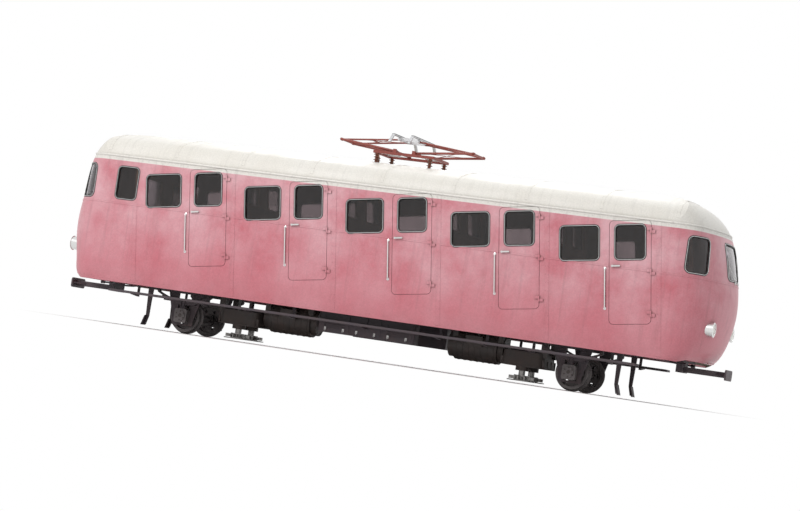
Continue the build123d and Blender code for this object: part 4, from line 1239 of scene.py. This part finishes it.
class RAILCAR_OT_running_gear(bpy.types.Operator):
    """Bolt the axleboxes, strap the springs and rivet the frame"""

    bl_idname = "railcar.running_gear"
    bl_label = "Running gear"

    cover_circle: length("Cover bolts", "Radius of their circle", 0.064)
    rivet: length("Frame rivet", "Radius of its head", 0.011)
    strap_half: length("Strap", "Half its width across the spring", 0.040)
    strap_inset: length("Strap place", "Its middle inside the springs' outer face", 0.033)
    eye_x: length("Spring eye", "From the axle", 0.43)
    eye_z: length("Spring eye height", "Above the rails", 0.595)

    CAP = ((0, 0), (0.026, 0), (0.024, 0.007), (0, 0.009))
    # Rivets of an axle guard beside its axle, and its rows with their share of that spread
    GUARD_RIVETS = (-0.255, -0.215, -0.17, 0.17, 0.215, 0.255)
    GUARD_ROWS = ((0.62, 1), (0.585, 0.8))
    SOLE_ROWS = (0.69, 0.77)
    HEADSTOCK_RIVETS = (-0.5, -0.42, -0.14, -0.08, 0.08, 0.14, 0.42, 0.5)
    HEADSTOCK_ROWS = (0.68, 0.78)

    def execute(self, context):
        bolts, straps, rivets = Shape(), Shape(), Shape()
        box_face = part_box("axleboxes")[1].y
        spring_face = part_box("leaf_springs")[1].y
        guard_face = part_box("axle_guards")[1].y
        sole_low, sole_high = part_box("underframe")
        for end, side in CORNERS:
            out = Y * side
            axle_x = end * AXLE_X
            hub = at(axle_x, side * box_face, AXLE_Z)
            for k in range(6):
                turn = tau * (k + 0.5) / 6
                bolts.bolt(hub + at(cos(turn), 0, sin(turn)) * self.cover_circle, out, 0.009)
            bolts.turned(self.CAP, hub + out * SUNK, out, 24)
            for shift in (-0.027, 0.027):
                self.strap(straps, axle_x + shift, side * (spring_face - self.strap_inset))
            for level, spread in self.GUARD_ROWS:
                for shift in self.GUARD_RIVETS:
                    place = at(axle_x + shift * spread, side * guard_face, level)
                    rivets.dome(place, out, self.rivet)
            for shift in (-1, 1):
                eye = at(axle_x + shift * self.eye_x, side * (spring_face - 0.0045), self.eye_z)
                bolts.bolt(eye, out, 0.012)
        for side in BOTH:
            for x in evenly(sole_low.x + 0.2, -sole_low.x - 0.2, 36):
                for z in self.SOLE_ROWS:
                    rivets.dome(at(x, side * guard_face, z), Y * side, self.rivet)
        for end in BOTH:
            for y in self.HEADSTOCK_RIVETS:
                for z in self.HEADSTOCK_ROWS:
                    rivets.dome(at(sole_high.x * end, y, z), X * end, self.rivet)
        bolts.place("axlebox_bolts", "running_iron", "case_iron")
        straps.place("spring_straps", "underframe_grey", "frame_grey")
        rivets.place("frame_rivets", "underframe_grey", "frame_grey")
        return {"FINISHED"}

    def strap(self, shape, x, y):
        """Bolt bent over a spring's buckle, with its two nuts."""
        box_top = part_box("axleboxes")[1].z
        half, low, high = self.strap_half, box_top + 0.03, box_top + 0.140
        legs = ((-half, low), (-half, high - 0.01), (-half + 0.01, high), (half - 0.01, high),
                (half, high - 0.01), (half, low))
        shape.tube([at(x, y + a, z) for a, z in legs], 0.0065, 8)
        for a in (-half, half):
            shape.bolt(at(x, y + a, low + 0.006), -Z, 0.010)


class RAILCAR_OT_under_fittings(bpy.types.Operator):
    """Fit pipes, motor ribs, case bolts, box latches and footboard treads"""

    bl_idname = "railcar.under_fittings"
    bl_label = "Under fittings"

    pipe_y: length("Pipe place", "From the middle", 0.522)
    pipe_radius: length("Pipe", "Its radius", 0.013)
    bearer_z: length("Bearers", "Height of their lower face", 0.66)
    cock_y: length("Cocks", "Their place from the middle", 0.30)
    cock_z: length("Cock height", "Above the rails", 0.607)
    cock_out: length("Cock reach", "Beyond the headstocks", 0.045)
    motor_x: length("Motor", "Its inner end from the middle of the car", 1.05)
    terminal_x: length("Terminal box", "Its middle from the middle of the car", 1.475)
    case_half: length("Drive case", "Half the length of its wide part", 0.344)
    bolt_inset: length("Case bolts", "From the flange's edge", 0.0075)
    flange_z: length("Case flange", "Its upper face above the case's foot", 0.078)
    tread_z: length("Tread", "Height of the footboards' upper face", 0.512)
    tread_inset: length("Tread end", "From a footboard's end", 0.04)
    rib_pitch: length("Ribs", "Distance between the ribs of a tread", 0.0225)

    CLIPS = (-3.7, -2.55, -1.85, -1.15, 0, 1.15, 1.85, 2.55, 3.7)
    LIDS = (-0.49, 0, 0.49)
    COUPLING = ((0, -0.03), (0.021, -0.03), (0.024, -0.01), (0.021, 0.012),
                (0.025, 0.018), (0.025, 0.032), (0, 0.032))
    MOTOR_CAP = ((0, -0.002), (0.07, -0.002), (0.06, -0.02), (0, -0.022))
    RIB = ((-0.005, SUNK), (-0.003, 0.003), (0.003, 0.003), (0.005, SUNK))
    EDGE = ((0.0, -0.026), (0.004, -0.026), (0.004, 0.0035), (-0.012, 0.0035),
            (-0.012, SUNK), (0.0, SUNK))

    def execute(self, context):
        self.pipes()
        self.motors()
        self.cases()
        self.boxes()
        self.treads()
        return {"FINISHED"}

    def pipes(self):
        """Two air pipes under the bearers, each with clips and a cock at both ends."""
        shape = Shape()
        end_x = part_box("underframe")[1].x
        z = self.bearer_z - self.pipe_radius - 0.001
        for side in BOTH:
            y, inner = side * self.pipe_y, side * self.cock_y
            route = ((end_x + self.cock_out, inner, self.cock_z),
                     (end_x - 0.06, inner, self.cock_z), (end_x - 0.16, side * 0.32, 0.615),
                     (end_x - 0.22, y, z), (end_x - 0.35, y, z))
            shape.tube([at(-a, b, c) for a, b, c in route]
                       + [at(*place) for place in reversed(route)], self.pipe_radius)
            for x in self.CLIPS:
                shape.tube([at(x, y + a, b) for a, b in (
                    (-0.034, 0.659), (-0.018, 0.654), (-0.017, z), (0, z - 0.0165), (0.017, z),
                    (0.018, 0.654), (0.034, 0.659),
                )], 0.0035, 6)
            for end in BOTH:
                head = at(end * (end_x + self.cock_out), inner, self.cock_z)
                shape.turned(self.COUPLING, head, X * end, 20)
                shape.tube([head, head + Z * 0.03, head + at(-end * 0.07, 0, 0.036)], 0.005, 8)
        shape.place("air_pipes", "underframe_grey", "frame_grey")

    def motors(self):
        """Bands, end bolts and a terminal box on each motor, with its conduit."""
        shape = Shape()
        low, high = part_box("traction_motors")
        radius = high.y
        axis_z = low.z + radius
        inside, outside = radius - 0.004, radius + 0.005
        for end in BOTH:
            axis = X * end
            start = at(end * self.motor_x, 0, axis_z)
            for foot in evenly(0.13, 0.70, 6):
                band = ((inside, foot), (outside, foot + 0.002), (outside, foot + 0.018),
                        (inside, foot + 0.02))
                shape.turned(band, start, axis, 40)
            for k in range(8):
                turn = tau * (k + 0.5) / 8
                shape.bolt(start + at(0, cos(turn), sin(turn)) * 0.16, -axis, 0.011)
            shape.turned(self.MOTOR_CAP, start, axis)
            for side in BOTH:
                centre = at(end * self.terminal_x, side * (radius + 0.012), axis_z + 0.075)
                self.terminal_box(shape, centre, side)
        shape.place("motor_fittings", "running_iron", "case_iron", bevel=0.002)

    def terminal_box(self, shape, centre, side):
        """Box with a bolted lid, and the conduit that leads up from it."""
        shape.box(centre, (0.24, 0.10, 0.13))
        shape.box(centre + Y * (side * 0.053), (0.26, 0.010, 0.15))
        for x in (-0.11, 0.11):
            for z in (-0.055, 0.055):
                shape.bolt(centre + at(x, side * 0.058, z), Y * side, 0.007)
        shape.tube([centre + at(0.05, side * out, up) for out, up in (
            (0, 0.05), (0, 0.11), (0.05, 0.17), (0.30, 0.20),
        )], 0.016, 12)

    def cases(self):
        """Bolts round the flange of each drive housing."""
        shape = Shape()
        for end, name in ENDS:
            low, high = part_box("drive_housing_" + name)
            middle = low.x + self.case_half if end > 0 else high.x - self.case_half
            half_x = self.case_half - self.bolt_inset
            half_y = (high.y - low.y) / 2 - self.bolt_inset
            places = [tuple(p) for p, out in rounded_outline(2 * half_x, 2 * half_y, 0.11, 3)]
            places += [(x, y * half_y) for x in (-0.15, -0.05, 0.05, 0.15) for y in (-1, 1)]
            places += [(x * half_x, y) for y in (-0.2, -0.07, 0.07, 0.2) for x in (-1, 1)]
            for x, y in places:
                shape.bolt(at(middle + x, y, low.z + self.flange_z), Z, 0.0065)
        shape.place("case_bolts", "running_iron", "case_iron")

    def boxes(self):
        """Hinges and latches on the lids of the equipment boxes."""
        shape = Shape()
        low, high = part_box("equipment_boxes")
        middle = (low.z + high.z) / 2
        places = [lid + shift for lid in self.LIDS for shift in (-0.14, 0.14)]
        for side in BOTH:
            for x in places:
                hinge = at(x, side * (high.y - 0.003), middle + 0.140)
                shape.tube([hinge - X * 0.035, hinge + X * 0.035], 0.008)
                latch = at(x, side * (high.y + 0.004), middle - 0.108)
                shape.box(latch, (0.03, 0.010, 0.045))
                shape.tube([latch + at(0, side * out, up) for out, up in (
                    (0.004, 0.005), (0.012, -0.01), (0.014, -0.035),
                )], 0.004, 8)
        shape.place("box_latches", "lamp_metal", "trim_metal", bevel=0.0015)

    def treads(self):
        """Ribbed tread and a metal edge on both footboards."""
        shape = Shape()
        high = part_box("footboards")[1]
        reach = high.x - self.tread_inset
        for side in BOTH:
            bars = [(side * (high.y - 0.022 - self.rib_pitch * i), 1, self.RIB) for i in range(9)]
            bars.append((side * high.y, side, self.EDGE))
            for y, facing, section in bars:
                shape.loft([[at(x, y + facing * a, self.tread_z + b) for a, b in section]
                            for x in (-reach, reach)])
        shape.place("footboard_treads", "underframe_grey", "frame_grey")


class RAILCAR_OT_pantograph(bpy.types.Operator):
    """Brace the arms, fit the raising springs and lead the cable over the roof"""

    bl_idname = "railcar.pantograph"
    bl_label = "Pantograph fittings"

    pivot_x: length("Pivot", "Arms' pivots from the middle", 0.15)
    arm_y: length("Lower arms", "Their ends' place from the middle", 0.285)
    spring_y: length("Springs", "Their place from the middle", 0.13)
    cable_x: length("Bushing", "Its place along the car", -0.62)
    cable_y: length("Cable", "Its place from the middle", 0.20)
    cable_length: length("Cable length", "From the bushing uphill", 3.0)

    # Where a stay starts and ends: from the middle, and as shares of its arm's length
    LOWER_STAY = ((0.285, -0.285), (0.14, 0.80))
    UPPER_STAY = ((0.18, -0.218), (0.10, 0.76))

    def execute(self, context):
        for end, name in ENDS:
            knee = PIVOTS["panto_upper_" + name]
            pivot = at(end * self.pivot_x, 0, PANTO_SHAFT_Z)
            head = at(end * self.pivot_x, 0, 2 * knee.z - PANTO_SHAFT_Z)
            lower, upper = Shape(), Shape()
            for side in BOTH:
                self.brace(lower, pivot, knee, *self.LOWER_STAY, side)
                self.brace(upper, head, knee, *self.UPPER_STAY, side)
                for shape, point, y, radius in ((lower, pivot, self.arm_y, 0.024),
                                                (lower, knee, self.arm_y, 0.021),
                                                (upper, head, 0.17, 0.0205)):
                    ring = ((0.012, -0.016), (radius, -0.016), (radius, 0.016), (0.012, 0.016))
                    shape.turned(ring, point + Y * (side * (y - 0.028)), Y, 24)
            for shape, arm in ((lower, "lower_" + name), (upper, "upper_" + name)):
                shape.place("panto_braces_" + arm, "panto_red", "pantograph_paint",
                            body="panto_" + arm)
        self.springs()
        self.cable()
        return {"FINISHED"}

    def brace(self, shape, start, end, across, shares, side):
        """Thin stay from one tube of an arm across to the other."""
        lift = Z * (0.003 * side)
        shape.tube([start + (end - start) * share + Y * (y * side) + lift
                    for y, share in zip(across, shares)], 0.0045, 8)

    def springs(self):
        """Pairs of raising springs on the base, between their hooks."""
        shape = Shape()
        for end, side in CORNERS:
            start, stop = (at(end * x, side * self.spring_y, PANTO_SHAFT_Z - 0.028)
                           for x in (0.435, 0.215))
            shape.coil(start, stop, 0.019, 0.0032, 14)
            shape.tube([start + at(end * 0.03, 0, -0.01), start], 0.004, 8)
            shape.tube([stop, stop - at(end * 0.055, 0, -0.012)], 0.004, 8)
        shape.place("panto_springs", "strip_metal", "trim_metal")

    def cable(self):
        """Conduit from the base's bushing along the roof, held by clips."""
        shape = Shape()
        route = []
        for i, x in enumerate(evenly(self.cable_x - 0.1, self.cable_x - self.cable_length, 8)):
            point, normal = skin_hit(at(x, self.cable_y, ROOF_Z + 1), -Z)
            route.append(point + normal * 0.013)
            if i % 2:
                for shift in (-0.022, 0.022):
                    shape.box(point + normal * 0.008 + Y * shift, (0.03, 0.018, 0.012))
                shape.tube([point + at(0, a, b) for a, b in (
                    (-0.022, 0.012), (-0.012, 0.026), (0.012, 0.026), (0.022, 0.012),
                )], 0.005, 6)
        foot, normal = skin_hit(at(self.cable_x, self.cable_y, ROOF_Z + 1), -Z)
        bushing = foot + X * 0.03
        shape.tube(route[::-1] + [foot + Z * 0.013, bushing + Z * 0.03], 0.012, 12)
        shape.finish = 1
        sheds = [(0, -0.004), (0.04, -0.004), (0.04, 0.01)]
        for z in evenly(0.02, 0.088, 2):
            sheds += [(0.019, z), (0.036, z + 0.006), (0.036, z + 0.010), (0.019, z + 0.022)]
        sheds += [(0.016, 0.125), (0, 0.125)]
        shape.turned(sheds, bushing, Z, 28)
        shape.finish = 2
        top = bushing + Z * 0.12
        base = at(-0.485, 0.30, PANTO_SHAFT_Z - 0.04)
        shape.tube([top, top + Z * 0.03, (top + base) / 2 + Z * 0.035, base], 0.008)
        shape.place("roof_cable", "strip_metal", "trim_metal", "porcelain", "copper")


class RAILCAR_OT_cab_controls(bpy.types.Operator):
    """Put a controller, a brake valve and gauges on both driver's desks"""

    bl_idname = "railcar.cab_controls"
    bl_label = "Cab controls"

    desk_lip: length("Desk lip", "From its top down to the desk", 0.035)
    desk_x: length("Desk middle", "Inside the nose's tip", 0.245)

    DRUM = ((0, -0.03), (0.075, -0.03), (0.075, 0.035), (0.068, 0.043), (0, 0.046))
    VALVE = ((0, -0.02), (0.035, -0.02), (0.038, 0.03), (0.026, 0.05), (0.018, 0.075),
             (0, 0.078))
    CASE = ((0, -0.012), (0.042, -0.012), (0.044, 0.012), (0.039, 0.014), (0.036, 0.010),
            (0, 0.0095))
    DIAL = ((0, 0.0092), (0.0355, 0.0097), (0.0355, 0.0107), (0, 0.0107))
    GAUGES = (-0.07, 0.03, 0.13)

    def execute(self, context):
        handles, dials = Shape(), Shape()
        desk_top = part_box("driver_desks")[1].z - self.desk_lip
        for end in BOTH:
            top = at(end * (NOSE_TIP - self.desk_x), 0, desk_top)
            drum = top - Y * (end * 0.24)
            lever = at(-end * 0.10, 0.06, 0.012)
            handles.turned(self.DRUM, drum, Z, 36)
            handles.tube([drum + Z * 0.04, drum + Z * 0.066], 0.012, 12)
            handles.tube([drum + Z * 0.062, drum + Z * 0.062 + lever], 0.008)
            handles.tube([drum + Z * 0.05 + lever, drum + Z * 0.12 + lever], 0.013, 12)
            valve = top + Y * (end * 0.26)
            handles.turned(self.VALVE, valve, Z, 28)
            handles.tube([valve + Z * 0.07, valve + at(-end * 0.13, 0.03, 0.085)], 0.007)
            face = at(-end * 0.47, 0, 0.88).normalized()
            aim = face.cross(Y).normalized() * 0.022 + Y * 0.012
            for y in self.GAUGES:
                spot = top + Y * (end * y)
                dials.finish = 0
                dials.turned(self.CASE, spot, face)
                dials.finish = 1
                dials.turned(self.DIAL, spot, face)
                dials.finish = 2
                dials.tube([spot + face * 0.0125, spot + face * 0.0125 + aim], 0.0012, 6)
        handles.place("cab_handles", "lamp_metal", "trim_metal", bevel=0.001)
        dials.place("cab_dials", "lamp_metal", "rubber_black", "dial_white", "rubber_black")
        return {"FINISHED"}


class RAILCAR_OT_interior(bpy.types.Operator):
    """Glaze the partitions and hang the ceiling lamps"""

    bl_idname = "railcar.interior"
    bl_label = "Interior"

    ceiling: length("Ceiling", "Below the roof's top", 0.045)
    pane: length("Partition pane", "Its thickness", 0.006)

    FRAME = ((-0.008, -0.016), (-0.008, 0.006), (-0.003, 0.010), (0.022, 0.010),
             (0.026, 0.005), (0.026, SUNK), (-0.0002, SUNK), (-0.0002, -0.016))
    LAMP = ((0, 0), (0.12, 0), (0.125, 0.012), (0.115, 0.03), (0.07, 0.052), (0, 0.06))

    def execute(self, context):
        size = sizes()
        panes, frames, lamps = Shape(), Shape(), Shape()
        hatch = (size.hatch_width, size.hatch_height, size.window_radius)
        for number, u in walls():
            for side in BOTH:
                centre = bay_point(side, number, u, size.hatch_w, size.hatch_y)
                panes.prism(pane_outline(*hatch), centre - ALONG * (self.pane / 2), Y, PLUMB,
                            self.pane)
                for face in (-1, 1):
                    middle = centre + ALONG * (face * size.partition / 2)
                    frames.rim(window_places(middle, Y, PLUMB, ALONG * face, *hatch), self.FRAME)
        ceiling = ROOF_Z - self.ceiling
        for number in BAYS:
            x = side_x(1, number, size.partition_u - size.bay_length / 2, ceiling)
            lamps.turned(self.LAMP, at(x, 0, ceiling + 0.002), -Z)
        panes.place("partition_panes", "window_glass", "hatch_pane")
        frames.place("partition_frames", "bench_wood", "bench_wood")
        lamps.place("ceiling_lamps", "lamp_metal", "lining_paint")
        return {"FINISHED"}


class RAILCAR_OT_stage(bpy.types.Operator):
    """Set the floor, the light and the camera"""

    bl_idname = "railcar.stage"
    bl_label = "Stage"

    # Name, place, size, power and colour of each light, which all look at the car's middle
    LIGHTS = (
        ("key_light", (-9, -20, 17), 12, 2900, (1.0, 0.98, 0.96)),
        ("top_light", (3, 4, 16), 14, 900, (0.97, 0.98, 1.0)),
        ("far_light", (-7, 19, 13), 12, 1100, (0.98, 0.99, 1.0)),
    )
    LIT_POINT = (0, 0, 1.4)

    def execute(self, context):
        scene = context.scene
        scene.view_settings.view_transform = "Standard"
        self.floor(scene)
        self.sky(scene)
        for name, place, size, power, tint in self.LIGHTS:
            lamp = bpy.data.lights.new(name, "AREA")
            lamp.shape = "DISK"
            lamp.size = size
            lamp.energy = power
            lamp.color = tint
            light = bpy.data.objects.new(name, lamp)
            light.location = place
            aim = Vector(self.LIT_POINT) - Vector(place)
            light.rotation_euler = aim.to_track_quat("-Z", "Y").to_euler()
            scene.collection.objects.link(light)
        self.camera(scene)
        return {"FINISHED"}

    def floor(self, scene):
        """Round pale floor that fades to white away from the car."""
        shape = bmesh.new()
        bmesh.ops.create_circle(shape, cap_ends=True, segments=96, radius=120)
        mesh = bpy.data.meshes.new("studio_floor")
        shape.to_mesh(mesh)
        shape.free()
        floor = bpy.data.objects.new("studio_floor", mesh)
        scene.collection.objects.link(floor)
        nodes = Finish("studio_floor")
        where = nodes.where()
        grain = nodes.between(nodes.noise(where, 1.2, 3), 0.3, 0.7, 0, 0.05)
        nodes.put(("Roughness", 0.85), ("Base Color", nodes.blend(
            grain, tuple(scene.railcar_stage.floor), (0.8, 0.8, 0.8)
        )))
        reach = nodes.stretched(where, (1 / 4.9, 1 / 3.4, 1))
        away = nodes.add(
            "ShaderNodeVectorMath", ((0, reach),), operation="LENGTH").outputs["Value"]
        white = nodes.add("ShaderNodeEmission", (("Color", (1, 1, 1)), ("Strength", 1.0)))
        share = nodes.times(nodes.between(away, 0.9, 1.2), nodes.backdrop_rays())
        mix = nodes.add("ShaderNodeMixShader", (
            (0, share), (1, nodes.shader.outputs[0]), (2, white.outputs[0]),
        ))
        output = nodes.tree.nodes["Material Output"]
        nodes.feed(output.inputs["Surface"], mix.outputs[0])
        floor.data.materials.append(nodes.material)

    def sky(self, scene):
        """Soft light from all round, seen as plain white."""
        world = bpy.data.worlds.new("studio_sky")
        world.use_nodes = True
        nodes = Nodes(world.node_tree)
        back = world.node_tree.nodes["Background"]
        strength = nodes.between(nodes.backdrop_rays(), 0, 1, 0.46, 1.0)
        nodes.feed(back.inputs["Strength"], strength)
        nodes.feed(back.inputs["Color"], (1, 1, 1))
        scene.world = world

    def camera(self, scene):
        """Long lens at floor level, rolled so that the car slopes as in the photograph."""
        stage = scene.railcar_stage
        lens = bpy.data.cameras.new("camera")
        lens.lens = stage.lens
        lens.clip_end = 500
        view = bpy.data.objects.new("camera", lens)
        scene.collection.objects.link(view)
        aim = at(0.05, 0, stage.target_z)
        back = at(sin(stage.azimuth), -cos(stage.azimuth), 0) * stage.distance
        view.location = at(aim.x + back.x, back.y, stage.camera_z)
        look = (aim - view.location).to_track_quat("-Z", "Y").to_matrix()
        roll = Matrix.Rotation(stage.roll, 3, "Z")
        view.rotation_euler = (look @ roll).to_euler()
        scene.camera = view


class RAILCAR_PT_panel(bpy.types.Panel):
    """Sizes, colours and steps of the railcar's dressing"""

    bl_idname = "RAILCAR_PT_panel"
    bl_label = "Railcar"
    bl_space_type = "VIEW_3D"
    bl_region_type = "UI"
    bl_category = "Railcar"

    def draw(self, context):
        for group in ("railcar_colours", "railcar_sizes", "railcar_stage"):
            values = getattr(context.scene, group)
            column = self.layout.column(align=True)
            for name in values.__annotations__:
                column.prop(values, name)
        for step in STEPS:
            self.layout.operator(step.bl_idname)


GROUPS = (weathered_paint_group, settled_dust_group, wood_grain_group, brushed_metal_group,
          inner_side_group)
STEPS = (
    RAILCAR_OT_dress_nodes, RAILCAR_OT_side_windows, RAILCAR_OT_doors, RAILCAR_OT_body_trim,
    RAILCAR_OT_grab_rails, RAILCAR_OT_nose_windows, RAILCAR_OT_headlamps, RAILCAR_OT_roof_trim,
    RAILCAR_OT_running_gear, RAILCAR_OT_under_fittings, RAILCAR_OT_pantograph,
    RAILCAR_OT_cab_controls, RAILCAR_OT_interior, RAILCAR_OT_stage,
)
CLASSES = (RailcarColours, RailcarSizes, RailcarStage, *STEPS, RAILCAR_PT_panel)


def register():
    """Makes the classes and the scene's settings known."""
    for cls in CLASSES:
        bpy.utils.register_class(cls)
    bpy.types.Scene.railcar_colours = PointerProperty(type=RailcarColours)
    bpy.types.Scene.railcar_sizes = PointerProperty(type=RailcarSizes)
    bpy.types.Scene.railcar_stage = PointerProperty(type=RailcarStage)


def unregister():
    """Takes the classes and the settings away again."""
    del bpy.types.Scene.railcar_stage
    del bpy.types.Scene.railcar_sizes
    del bpy.types.Scene.railcar_colours
    for cls in reversed(CLASSES):
        bpy.utils.unregister_class(cls)


def main():
    """Runs every step."""
    register()
    for make_group in GROUPS:
        make_group()
    for step in STEPS:
        area, name = step.bl_idname.split(".")
        getattr(getattr(bpy.ops, area), name)()


if __name__ == "__main__":
    main()
